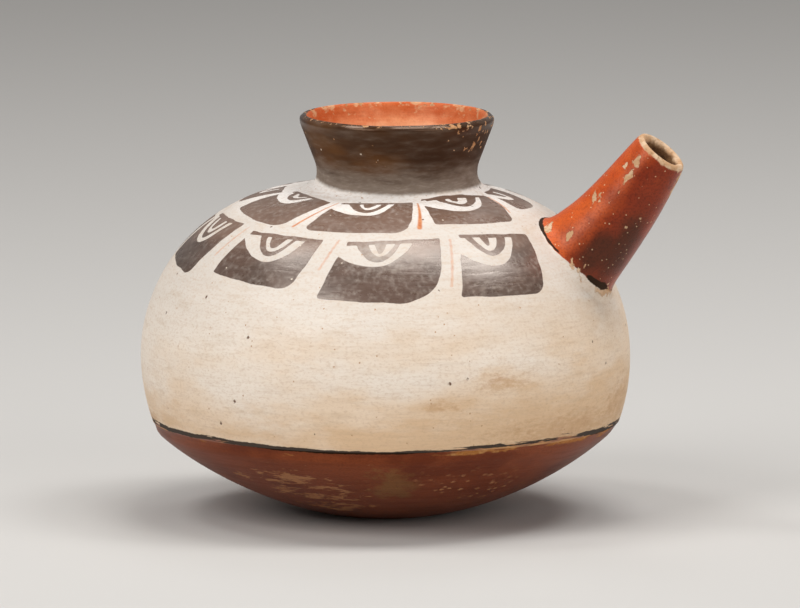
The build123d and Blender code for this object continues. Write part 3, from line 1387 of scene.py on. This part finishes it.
@dataclass
class Base:
    """The pressed base bowl in red slip."""

    form: JarForm
    segments: int = 360
    foot_step: float = 1.2  # from the edge of the resting flat to where the outer cap starts
    swelling: Pair = (1.9, 0.7)  # mean swelling under the corner, and how much it varies
    swell_turn: float = 18.0  # where it is least
    swell_run: Pair = (5.0, 28.0)  # depths under the corner over which it grows, and then fades
    scuffs: Spots = (
        Spot(-119, 79, 6, 4), Spot(-101, 80.5, 12, 7.5), Spot(-91, 73.5, 12, 5), Spot(-95, 65, 18, 5.5),
        Spot(-93, 54, 17, 9), Spot(-109, 69, 9, 5), Spot(60, 62, 22, 9), Spot(150, 72, 18, 8),
    )
    smoke: Spots = (Spot(-69, 76, 8, 15), Spot(100, 70, 14, 12))
    bared: Spots = (Spot(-14, 100, 22, 8), Spot(-46, 101, 9, 5))
    flecked: Spots = (Spot(-50, 76, 18, 9), Spot(-34, 66, 16, 9))

    def build(self) -> Mesh:
        """Spin the bowl: resting flat, outer cap, rim and inner cap.

        Returns:
            The finished mesh.
        """
        form = self.form
        foot, inner = form.rest_radius + self.foot_step, form.inner_corner()
        climb = form.corner_height - form.floor
        square = form.corner_radius**2 + form.corner_height**2
        centre = (square - form.rest_radius**2) / (2 * form.corner_height)
        ball = math.hypot(form.rest_radius, centre)
        start, end = math.acos(foot / ball), math.acos(form.corner_radius / ball)
        rise = centre - ball * math.sin(start)
        inner_ball = (inner**2 + climb**2) / (2 * climb)
        section = Section(0, 0)
        section.line_to(form.rest_radius - 1, 0, 6)
        section.curve_to((foot - 1.6, 0), (foot - 0.7, rise / 3), (foot, rise), 3)
        section.arc(0, centre, math.degrees(start - end), 44)
        section.line_to(inner, form.corner_height, 2)
        section.arc(0, form.floor + inner_ball, -math.degrees(math.asin(inner / inner_ball)), 20)
        mesh = section.spin(self.segments, closed=False)
        points = read_points(mesh)
        turns, over = turns_of(points), points[:, 2] - form.corner_height
        places = {
            Mark.RUB: self.scuffs,
            Mark.SMOKE: self.smoke,
            Mark.FLAKES: self.bared,
            Mark.STAIN: self.flecked,
        }
        write_marks(mesh, spot_marks(places, turns, read_along(mesh)))
        write_marks(mesh, CornerLine().marks(turns, over))
        mean, vary = self.swelling
        grow, fade = self.swell_run
        swell = mean - vary * np.cos(np.radians(turns - self.swell_turn))
        swell *= smooth(-over / grow) * (1 - smooth((-over - grow) / fade))
        points[:, :2] *= (1 + swell / np.maximum(radii_of(points), 10.0))[:, None]
        return finish_mesh(mesh, form.hand_marks(points))

    def finish(self) -> Material:
        """Burnished red slip, rubbed to the clay in level streaks where the jar was handled.

        Returns:
            The material.
        """
        marks = (Mark.RUB, Mark.SMOKE, Mark.FLAKES, Mark.STAIN, Mark.RISE, Mark.LINE)
        look = Finish("burnished red slip on fired clay", *marks)
        streaks = look.patches(2.4, 0.7, 0.03, 0.8, (3, 3, 0.6), 5, 0.7, Mark.RUB, 0.24)
        dots = {0: look.specks(2.6, 3.8, 0.7, 1.4), 1: look.marks[Mark.STAIN]}
        flecks = look.add("Math", dots, operation="MULTIPLY")
        scuffs = look.add("Math", {0: streaks, 1: flecks}, operation="MAXIMUM")
        cloud = look.patches(5, 0.78, 0.12, 0.85, detail=8, rough=0.6, lift=Mark.SMOKE, by=0.46)
        coat = look.lay(BASE_RED.coat(look, scuffs), BASE_CLOUD.coat(look, streaks), cloud)
        near = look.painted(Mark.RISE, 0.9, 0.5, -2.9, beyond=True)
        worn = look.patches(7, 0.66, 0.05, 0.8, (2.5, 2.5, 0.6), 6, lift=Mark.FLAKES, by=0.2)
        bare = look.add("Math", {0: near, 1: worn}, operation="MULTIPLY")
        coat = look.lay(coat, BASE_CLAY.coat(look), bare)
        coat = look.lay(coat, BLACK_LINE.coat(look, 0.25), look.painted(Mark.LINE, 0.4, 0.15))
        return look.done(coat, 1.36, "#DDB59A")

    def dress(self) -> None:
        """Build the piece and put it in the scene."""
        dress("base", self.build(), self.finish(), Slot.BASE, "base_bowl")


@dataclass
class Wall:
    """The coiled belly, shoulder and crown as one burnished and painted skin."""

    form: JarForm
    paint: ShoulderPaint
    spout: SpoutAxis
    neck_offset: float
    segments: int = 560
    mouth_radius: float = 27.0
    pierced_radius: float = 8.5
    band: Pair = (27.0, 88.0)  # angles between which the rings lie closely, for the paint
    band_rings: int = 104
    fine_turn: float = 3.5  # closely spaced rings over the corner, for the line there
    neck_reach: Pair = (37.0, 8.0)  # radius up to which the crown moves with the neck, and its ease
    stains: Spots = (
        Spot(-22, 41, 30, 8), Spot(2, 46, 13, 11), Spot(-152, 39, 12, 4),
        Spot(-44, 62, 10, 4), Spot(-60, 54, 6, 2.5), Spot(110, 44, 30, 8),
    )
    # Thin umber paint; the spot on the eye at turn -74 is a painted sheen of the top lamp
    thin_paint_and_sheen: Spots = (Spot(-74, 110, 8, 5), Spot(6, 118, 5, 2.5), Spot(60, 112, 30, 6))

    def build(self) -> Mesh:
        """Spin the wall, outside and inside, pierce it for the spout, and mark its paint.

        Returns:
            The finished mesh.
        """
        form = self.form
        wall, crown, equator = form.wall, form.crown_height, form.equator
        shoulder, belly, mouth = form.shoulder_radius, form.belly_radius, self.mouth_radius
        start, end = self.band
        section = Section(form.corner_radius, form.corner_height)
        section.arc(belly, equator, self.fine_turn, 10)
        section.arc(belly, equator, form.drop_angle(0) - self.fine_turn, 8)
        section.arc(shoulder, equator, start, 12)
        section.arc(shoulder, equator, end - start, self.band_rings)
        section.arc(shoulder, equator, 90 - end, 2)
        section.line_to(mouth, crown, 2).line_to(mouth, crown - wall)
        section.line_to(shoulder, crown - wall).arc(shoulder, equator, -90, 16)
        section.arc(belly, equator, -form.drop_angle(wall), 4)
        mesh = self.pierce(section.spin(self.segments, closed=True))
        points = read_points(mesh)
        turns, heights = turns_of(points), points[:, 2]
        write_marks(mesh, self.paint.marks(points))
        places = {Mark.STAIN: self.stains, Mark.RUB: self.thin_paint_and_sheen}
        write_marks(mesh, spot_marks(places, turns, heights))
        write_marks(mesh, CornerLine().marks(turns, heights - form.corner_height))
        reach, ease = self.neck_reach
        moved = form.hand_marks(points)
        moved[:, 0] += self.neck_offset * smooth((reach - radii_of(points)) / ease)
        return finish_mesh(mesh, moved)

    def pierce(self, mesh: Mesh) -> Mesh:
        """Cut the round hole that leads from the body into the spout.

        Args:
            mesh: The spun wall, which is used up.

        Returns:
            The wall with its hole.
        """
        turn = self.spout.along.to_track_quat("Z", "Y").to_matrix().to_4x4()
        cutter = bmesh.new()
        bmesh.ops.create_cone(
            cutter,
            cap_ends=True,
            segments=48,
            radius1=self.pierced_radius,
            radius2=self.pierced_radius,
            depth=8 * self.form.wall,
            matrix=Matrix.Translation(self.spout.foot) @ turn,
        )
        drill, blank = add_object("drill", to_mesh(cutter, "drill")), add_object("blank", mesh)
        cut = blank.modifiers.new("pierced", "BOOLEAN")
        cut.object = drill
        cut.operation = "DIFFERENCE"
        cut.solver = "MANIFOLD"
        shaped = blank.evaluated_get(bpy.context.evaluated_depsgraph_get())
        pierced = bpy.data.meshes.new_from_object(shaped)
        for used in (drill, blank):
            shape = used.data
            bpy.data.objects.remove(used)
            bpy.data.meshes.remove(shape)
        return pierced

    def finish(self) -> Material:
        """Cream slip with umber panels, orange strokes, brown stains, and a black line at the corner.

        Returns:
            The material.
        """
        marks = (Mark.DARK, Mark.ORANGE, Mark.STAIN, Mark.RUB, Mark.LINE, Mark.RISE)
        look = Finish("burnished cream slip painted in umber and orange", *marks)
        cream = CreamSlip().coat(look)
        brown = look.patches(2, 0.74, 0.14, 0.62, (2, 2, 0.8), 8, 0.75, Mark.STAIN, 0.34)
        coat = paint_band(look, look.lay(cream, BROWN_STAIN.coat(look, cream), brown))
        bared = look.patches(4, 0.6, 0.08, 0.9, (4, 4, 0.5), lift=Mark.STAIN, by=0.25)
        coat = look.lay(coat, CORNER_RED.coat(look, bared), look.painted(Mark.RISE, 0.3, 0.15, -0.1))
        line = look.painted(Mark.LINE, 0.4, 0.15)
        worn = look.patches(2.6, 0.68, 0.03, 1, (5, 5, 0.5), 4, lift=Mark.STAIN, by=0.2)
        kept = look.add("Math", {0: line, 1: worn}, operation="SUBTRACT", use_clamp=True)
        return look.done(look.lay(coat, BLACK_LINE.coat(look, 0.25), kept), 1.95, "#F6EADF")

    def dress(self) -> None:
        """Build the piece and put it in the scene."""
        coils = [f"shoulder_coil_{number}" for number in range(1, 5)]
        dress("wall", self.build(), self.finish(), Slot.WALL, "belly_coil", *coils, "crown_coil")


@dataclass
class Neck:
    """The flaring collar with the clay smoothed round its foot."""

    form: JarForm
    paint: ShoulderPaint
    offset: float
    rim_radius: float
    rim_height: float
    waist_radius: float = 31.0
    wall: float = 4.0
    sunk: float = 2.4
    lute: float = 6.6  # how far the smoothed clay reaches out from the waist
    segments: int = 256
    foot_ease: float = 7.0  # height over the crown by which the foot no longer follows its fall
    lip_start: float = 6.0  # height over the crown where the wander of the lip starts
    dip: float = 0.2  # mean fall of the lip
    dip_waves: tuple[Wave, ...] = (
        Wave(0.1, 1, 0, math.radians(130)),
        Wave(0.06, 3, 0, 0.4),
        Wave(0.03, 7),
    )
    draw: float = 0.2  # mean narrowing of the lip
    draw_waves: tuple[Wave, ...] = (Wave(0.12, 2, 0, 0.7), Wave(0.08, 5))
    # Height of the slip's lower edge over the crown, by turn.
    slip_edge: tuple[Pair, ...] = (
        (-180, 4.3), (-150, 4.1), (-115, 2.2), (-72, 1.45), (-20, 1.9), (60, 1.9), (180, 4.3),
    )
    # How far past the lip's crest the red slip inside starts, by turn.
    inner_edge: tuple[Pair, ...] = (
        (-180, 0.6), (-150, 0.9), (-10, 0.9), (40, 0.3), (70, -1.2), (146, -1.2), (172, 0.3), (180, 0.6),
    )
    flakes: Spots = (
        Spot(-26, -4, 8, 4), Spot(-12, -4, 8, 5), Spot(-16, -12, 7, 4), Spot(-2, -9, 8, 7),
        Spot(6, -3, 14, 4), Spot(-36, -1.5, 10, 1.8), Spot(140, -7, 18, 7),
    )
    # Fire clouding: olive patches outside, the one at turn -130 partly a painted highlight; the spot at
    # turn 104, inside the mouth, is a painted highlight
    smoke: Spots = (Spot(-82, -16, 24, 7), Spot(-130, -12, 26, 14), Spot(104, 12, 45, 8))

    @classmethod
    def from_frame(cls, form: JarForm, paint: ShoulderPaint) -> "Neck":
        """Take the lip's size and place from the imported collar."""
        low, high = (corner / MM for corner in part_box("neck_collar"))
        return cls(form, paint, (low.x + high.x) / 2, (high.x - low.x) / 2, high.z)

    def build(self) -> Mesh:
        """Spin the collar about its own axis, fit its foot to the crown, and move it into place.

        Returns:
            The finished mesh.
        """
        crown, rim = self.form.crown_height, self.rim_height
        waist, out = self.waist_radius, self.rim_radius
        bore, foot, lute = waist - self.wall, crown - self.sunk, waist + self.lute
        section = Section(bore, foot)
        section.line_to(lute, foot, 2).line_to(lute, crown - 0.05)
        section.curve_to((waist + 3, crown + 0.25), (waist, crown + 2.2), (waist, crown + 6.2), 16)
        section.curve_to((waist, crown + 8.6), (waist + 0.55, crown + 10), (waist + 1.1, crown + 11.4), 8)
        section.line_to(out - 1, rim - 5.4, 22)
        section.curve_to((out - 0.3, rim - 3.8), (out + 0.25, rim - 1.9), (out - 0.3, rim - 1.15), 8)
        section.line_to(out - 1.15, rim - 0.37, 3)
        section.curve_to((out - 1.6, rim + 0.05), (out - 2.45, rim + 0.3), (out - 2.9, rim - 0.9), 8)
        section.curve_to((out - 3.3, rim - 1.6), (out - 3.6, rim - 3.4), (out - 4.2, rim - 5.4), 6)
        section.line_to(bore + 1.1, crown + 11.4, 16)
        section.curve_to((bore + 0.55, crown + 10), (bore, crown + 8.6), (bore, crown + 6.2), 6)
        section.line_to(bore, foot + 1, 6)
        mesh = section.spin(self.segments, closed=True)
        points = read_points(mesh)
        turns, past = turns_of(points), past_crest(mesh, points)
        placed = self.settle(points, np.radians(turns))
        write_marks(mesh, self.paint.marks(placed))
        places = {Mark.FLAKES: self.flakes, Mark.SMOKE: self.smoke}
        write_marks(mesh, spot_marks(places, turns, past))
        inner = past - by_turn(self.inner_edge, turns)
        below = crown + by_turn(self.slip_edge, turns) - placed[:, 2]
        write_marks(mesh, {Mark.CREST: past, Mark.INNER: inner, Mark.FOOT: below})
        return finish_mesh(mesh, placed)

    def settle(self, points: np.ndarray, turns: np.ndarray) -> np.ndarray:
        """Bend the foot to the crown's fall, and let the lip wander as a hand-turned one does.

        Args:
            points: Points of the spun collar, about its own axis.
            turns: Their turns in radians.

        Returns:
            The points in place.
        """
        arc, crown, start = self.form.shoulder_arc, self.form.crown_height, self.lip_start
        moved, up = points.copy(), points[:, 2] - crown
        moved[:, 0] += self.offset
        run = np.maximum(radii_of(moved) - self.form.shoulder_radius, 0.0)
        fall = arc - np.sqrt(arc**2 - run**2)
        rise = smooth((up - start) / (self.rim_height - crown - start))
        moved[:, 2] -= fall * (1.0 - smooth(up / self.foot_ease))
        moved[:, 2] -= rise * (self.dip + ripple(self.dip_waves, turns))
        drawn = rise * (self.draw + ripple(self.draw_waves, turns))
        moved[:, :2] -= points[:, :2] * (drawn / np.maximum(radii_of(points), 1.0))[:, None]
        return moved

    def finish(self) -> Material:
        """Umber slip outside, grey at the foot from rubbing and a painted sheen, red slip inside with a
        painted highlight, flaked to the clay at the lip.

        Returns:
            The material.
        """
        marks = (Mark.DARK, Mark.ORANGE, Mark.CREST, Mark.INNER, Mark.FLAKES, Mark.SMOKE, Mark.FOOT)
        look = Finish("burnished umber slip outside and red slip inside", *marks)
        past = look.marks[Mark.CREST]
        coat = paint_band(look, CreamSlip().coat(look))
        # olive clouding outside, partly a painted highlight on the neck's left
        cloud = look.patches(9, 0.8, 0.24, 0.85, (2, 2, 0.7), 6, lift=Mark.SMOKE, by=0.46)
        umber = look.lay(NECK_UMBER.coat(look, 0.3), NECK_OLIVE.coat(look, 0.3), cloud)
        # the foot greys from rubbing and from a painted sheen on its upward-facing fillet
        low = look.add("MapRange", {"Value": past, "From Min": -16, "From Max": -28, "To Max": 0.8})
        rubbed_and_sheen = look.patches(3, 0.95, 0.6, 1, (3, 3, 0.8), 3, lift=low)
        umber = look.lay(umber, NECK_GREY_WEAR_AND_SHEEN.coat(look, 0.8), rubbed_and_sheen)
        polish = {"Value": past, "From Min": -7, "From Max": -2.5, "To Min": 0.76, "To Max": 0.16}
        umber = replace(umber, roughness=look.add("MapRange", polish))
        coat = look.lay(coat, umber, look.painted(Mark.FOOT, 0.4, 0.8))
        near = look.add("MapRange", {"Value": past, "From Min": 9, "From Max": 2, "To Max": 0.14})
        scuffs = look.patches(3, 0.7, 0.05, 0.7, (1.6, 1.6, 1), 8, 0.6, near)
        # painted highlight: paler, pinker red where the lamps light the inside of the mouth
        pale = look.patches(7, 0.82, 0.3, 1, lift=Mark.SMOKE, by=0.55)
        red = look.lay(NECK_RED.coat(look, scuffs), NECK_RED_SHEEN.coat(look, scuffs), pale)
        coat = look.lay(coat, red, look.painted(Mark.INNER, 0.6, 0.25, beyond=True))
        flakes = look.patches(2.6, 0.74, 0.02, 1, (1, 1, 0.9), 3, 0.5, Mark.FLAKES, 0.2)
        edge = look.painted(Mark.CREST, 0.5, 0.5, -1.5, beyond=True)
        chips = {0: look.patches(2.2, 0.6, 0.02, detail=5), 1: edge}
        chipped = look.add("Math", chips, operation="MULTIPLY")
        inside = {0: look.painted(Mark.CREST, 0.5, 0.5, 1.6), 1: chipped}
        bare = {0: flakes, 1: look.add("Math", inside, operation="MULTIPLY")}
        coat = look.lay(coat, NECK_CLAY.coat(look), look.add("Math", bare, operation="MAXIMUM"))
        return look.done(coat, 1.6, "#D2AE92")

    def dress(self) -> None:
        """Build the piece and put it in the scene."""
        dress("neck", self.build(), self.finish(), Slot.NECK, "neck_collar", "neck_lute")


@dataclass
class Spout:
    """The tapered side spout with the clay smoothed round its foot."""

    axis: SpoutAxis
    length: float = 52.7
    bore_radius: float = 6.2
    straight_bore: float = 18.0
    throat: float = 3.2  # how much wider the bore is at the foot
    bow: float = 1.1
    lift: float = 0.2  # how far the tip is bent up
    flange: float = 21.2
    segments: int = 200
    foot_ease: float = 17.0  # length over which the foot's saddle fades
    draw: float = 0.12  # mean narrowing at the tip
    draw_waves: tuple[Wave, ...] = (Wave(0.12, 2, 0, 0.5), Wave(0.07, 5, 1 / 6))
    draw_radius: float = 12.0  # radius at which the narrowing is that many mm
    smoke: Spots = (Spot(-50, -28, 70, 62), Spot(30, -30, 60, 50))
    soot: Spots = (Spot(-66, -43, 26, 11), Spot(-42, -38, 28, 15))
    flakes: Spots = (
        Spot(-110, -8, 12, 4), Spot(-126, -12, 9, 3), Spot(-104, -17, 6, 7), Spot(-128, -30, 10, 4),
        Spot(-112, -47, 8, 3), Spot(-145, -52, 12, 3), Spot(5, -11, 16, 8), Spot(-72, -51.5, 14, 2.2),
        Spot(-12, -52, 30, 1.8), Spot(100, -20, 20, 8),
    )
    # Lower edge of the slip and half breadth of its black line, by turn.
    slip_edge: tuple[Pair, ...] = (
        (-180, -54.9), (-120, -54.3), (-95, -53.1), (-75, -51.6), (-20, -51), (20, -52.7), (180, -54.9),
    )
    line_half: tuple[Pair, ...] = (
        (-180, 0.5), (-150, 0.8), (-130, 0.5), (-106, 0.35), (-95, 0), (-62, -0.3), (-54, 0.8), (-26, 1.1),
        (-12, 0), (30, 0.5), (180, 0.5),
    )
    line_drop: float = 0.5  # from the slip's edge up to the middle of the line

    def build(self) -> Mesh:
        """Spin the spout about its own axis, fit its foot to the shoulder, and set it in place.

        Returns:
            The finished mesh.
        """
        top, bore, throat = self.length, self.bore_radius, self.bore_radius + self.throat
        section = Section(throat, -1)
        section.line_to(self.flange, -1, 3).line_to(self.flange, -0.1)
        section.curve_to((19, 0.05), (17.4, 2.4), (16.7, 6.6), 18)
        section.curve_to((16.1, 9.6), (15.2, 14.5), (14.6, 20), 16)
        section.curve_to((13.9, 27), (13, 36), (11.6, top - 6), 26)
        section.curve_to((11.3, top - 4.2), (11.1, top - 1.8), (10.4, top - 0.7), 9)
        section.curve_to((9.9, top), (9, top + 0.1), (8.2, top - 0.6), 6)
        section.curve_to((7.2, top - 1.5), (bore + 0.2, top - 3), (bore, top - 5), 6)
        section.line_to(bore, top - self.straight_bore, 6)
        section.curve_to((bore, 24), (bore + 2, 12), (throat, 0), 12)
        mesh = section.spin(self.segments, closed=True)
        points = read_points(mesh)
        turns, past = turns_of(points), past_crest(mesh, points)
        below = by_turn(self.slip_edge, turns) - past
        line = np.abs(below + self.line_drop) - by_turn(self.line_half, turns)
        places = {Mark.SMOKE: self.smoke, Mark.SOOT: self.soot, Mark.FLAKES: self.flakes}
        write_marks(mesh, spot_marks(places, turns, past))
        write_marks(mesh, {Mark.CREST: past, Mark.FOOT: below, Mark.LINE: line})
        return finish_mesh(mesh, self.settle(points, np.radians(turns)))

    def settle(self, points: np.ndarray, turns: np.ndarray) -> np.ndarray:
        """Saddle the foot on the shoulder and bow the tube slightly.

        Args:
            points: Points of the spun spout, about its own axis.
            turns: Their turns in radians.

        Returns:
            The points in place.
        """
        moved, along = points.copy(), points[:, 2]
        hold = 1.0 - smooth(along / self.foot_ease)
        moved[:, 2] += self.axis.drop(points) * hold
        share = np.clip(along / self.length, 0.0, 1.0)
        moved[:, 0] += self.bow * np.sin(math.pi * share) - self.lift * share**2
        drawn = self.draw + ripple(self.draw_waves, turns, along)
        moved[:, :2] *= (1.0 - drawn * share / self.draw_radius)[:, None]
        placed = self.axis.outwards(moved)
        return placed + (self.axis.form.hand_marks(placed) - placed) * hold[:, None]

    def finish(self) -> Material:
        """Red slip clouded by the fire, flaked near the lip, with a bare lip and a sooty bore.

        Returns:
            The material.
        """
        marks = (Mark.CREST, Mark.SMOKE, Mark.SOOT, Mark.FLAKES, Mark.FOOT, Mark.LINE)
        look = Finish("burnished orange-red slip clouded by the fire", *marks)
        dots = {0: look.specks(0.7, 1.6, 0.22), 1: look.specks(1.4, 5, 0.3)}
        flecks = look.add("Math", dots, operation="MAXIMUM")
        coat = SPOUT_RED.coat(look, flecks)
        for mark, shade, amount in ((Mark.SMOKE, SPOUT_MAROON, 1), (Mark.SOOT, SPOUT_SOOT, 0.85)):
            cloud = look.patches(11, 1, 0.4, amount, detail=5, lift=mark)
            coat = look.lay(coat, shade.coat(look, flecks), cloud)
        flakes = look.patches(3.4, 0.71, 0.015, 1, (0.8, 0.8, 1.5), 7, 0.6, Mark.FLAKES, 0.28)
        lip = look.painted(Mark.CREST, 1.2, 0.4, -2.2, beyond=True)
        clay = SPOUT_CLAY.coat(look)
        coat = look.lay(coat, clay, look.add("Math", {0: flakes, 1: lip}, operation="MAXIMUM"))
        coat = look.lay(coat, BORE_CLAY.coat(look), look.painted(Mark.CREST, 1.4, 1, 2.6, beyond=True))
        coat = look.lay(coat, CreamSlip().coat(look), look.painted(Mark.FOOT, 0.5, 0.15, beyond=True))
        coat = look.lay(coat, clay, look.add("Math", {0: flakes, 1: 0.8}, operation="MULTIPLY"))
        coat = look.lay(coat, BLACK_LINE.coat(look, 0.25), look.painted(Mark.LINE, 0.4, 0.15))
        return look.done(coat, 1.5, "#EBC9B4")

    def dress(self) -> None:
        """Build the piece and put it in the scene."""
        dress("spout", self.build(), self.finish(), Slot.SPOUT, "spout_tube", "spout_lute")


def direction(azimuth: float, elevation: float) -> Vector:
    """Direction away from the jar.

    Args:
        azimuth: Degrees round towards +X from the front, which is -Y.
        elevation: Degrees over the horizon.

    Returns:
        A vector of length one.
    """
    turn, rise = math.radians(azimuth), math.radians(elevation)
    flat = math.cos(rise)
    return Vector((math.sin(turn) * flat, -math.cos(turn) * flat, math.sin(rise)))


@dataclass(frozen=True)
class Lamp:
    """A soft square lamp, placed by its direction from the jar as the camera sees it."""

    name: str
    right: float  # degrees to the camera's right
    height: float  # degrees over the horizon
    distance: float
    breadth: float
    power: float

    def add(self, azimuth: float, aim: Vector) -> None:
        """Put the lamp in the scene, facing the jar.

        Args:
            azimuth: The camera's own azimuth in degrees.
            aim: The point that the lamp faces.
        """
        away = direction(azimuth + self.right, self.height)
        light = bpy.data.lights.new(self.name, "AREA")
        light.energy = self.power
        light.shape = "SQUARE"
        light.size = self.breadth
        lamp = add_object(self.name, light)
        lamp.location = aim + away * self.distance
        lamp.rotation_euler = away.to_track_quat("Z", "Y").to_euler()


@dataclass
class Studio:
    """A pale floor, soft lamps, and a camera at the photograph's angle."""

    azimuth: float = 18.0
    elevation: float = 8.1
    distance: float = 6.0
    frame_width: float = 0.3096  # metres across the picture at the jar
    aim_right: float = 0.00542
    aim_up: float = 0.0797
    floor_half: float = 30.0
    floor_colour: str = "#C8C5C1"
    floor_roughness: float = 0.9
    world_colour: str = "#F2F0EE"
    world_light: float = 0.25
    lamps: tuple[Lamp, ...] = (
        Lamp("top_softbox", 90, 82, 1.5, 0.55, 6.5),
        Lamp("right_softbox", 92, 60, 1.6, 0.48, 7),
        Lamp("left_softbox", -100, 63, 1.6, 0.4, 4.2),
        Lamp("back_softbox", 175, 50, 1.8, 0.55, 3.4),
        Lamp("front_softbox", -47, 36, 1.8, 1, 16),
        Lamp("front_fill", 42, 20, 2.2, 1.5, 14),
    )

    def add_camera(self) -> None:
        """Place the camera so that the jar sits in the frame as photographed."""
        turn = math.radians(self.azimuth)
        right = Vector((math.cos(turn), math.sin(turn), 0.0))
        toward = direction(self.azimuth, self.elevation)
        aim = right * self.aim_right + toward.cross(right) * self.aim_up
        lens = bpy.data.cameras.new("camera")
        lens.lens = lens.sensor_width * self.distance / self.frame_width
        lens.clip_end = 4 * self.floor_half
        camera = add_object("camera", lens)
        camera.location = aim + toward * self.distance
        camera.rotation_euler = toward.to_track_quat("Z", "Y").to_euler()
        bpy.context.scene.camera = camera

    def add_floor(self) -> None:
        """Lay a plain pale floor at the height that the jar stands on."""
        shape = bmesh.new()
        bmesh.ops.create_grid(shape, x_segments=1, y_segments=1, size=self.floor_half)
        mesh = to_mesh(shape, "floor")
        look = Finish("matt studio paper")
        values = {"Base Color": linear(self.floor_colour), "Roughness": self.floor_roughness}
        look.add("OutputMaterial", {"Surface": look.add("BsdfPrincipled", values)})
        mesh.materials.append(look.material)
        floor = add_object("floor", mesh)

    def add_light(self) -> None:
        """Add the lamps, and a pale world that lights the jar evenly from all round."""
        for lamp in self.lamps:
            lamp.add(self.azimuth, Vector((0.0, 0.0, self.aim_up)))
        world = bpy.data.worlds.new("studio")
        world.use_nodes = True
        sky = Nodes(world.node_tree)
        values = {"Color": linear(self.world_colour), "Strength": self.world_light}
        sky.add("OutputWorld", {"Surface": sky.add("Background", values)})
        bpy.context.scene.world = world
        bpy.context.scene.view_settings.view_transform = "Standard"


def main() -> None:
    """Build the studio, then each piece in order."""
    logging.basicConfig(level=logging.INFO, format="%(name)s: %(message)s")
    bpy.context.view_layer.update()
    form = JarForm.from_frame()
    axis = SpoutAxis.from_frame(form)
    paint = ShoulderPaint(form)
    neck = Neck.from_frame(form, paint)
    studio = Studio()
    studio.add_camera()
    studio.add_floor()
    studio.add_light()
    for piece in (Base(form), Wall(form, paint, axis, neck.offset), neck, Spout(axis)):
        piece.dress()


if __name__ == "__main__":
    main()
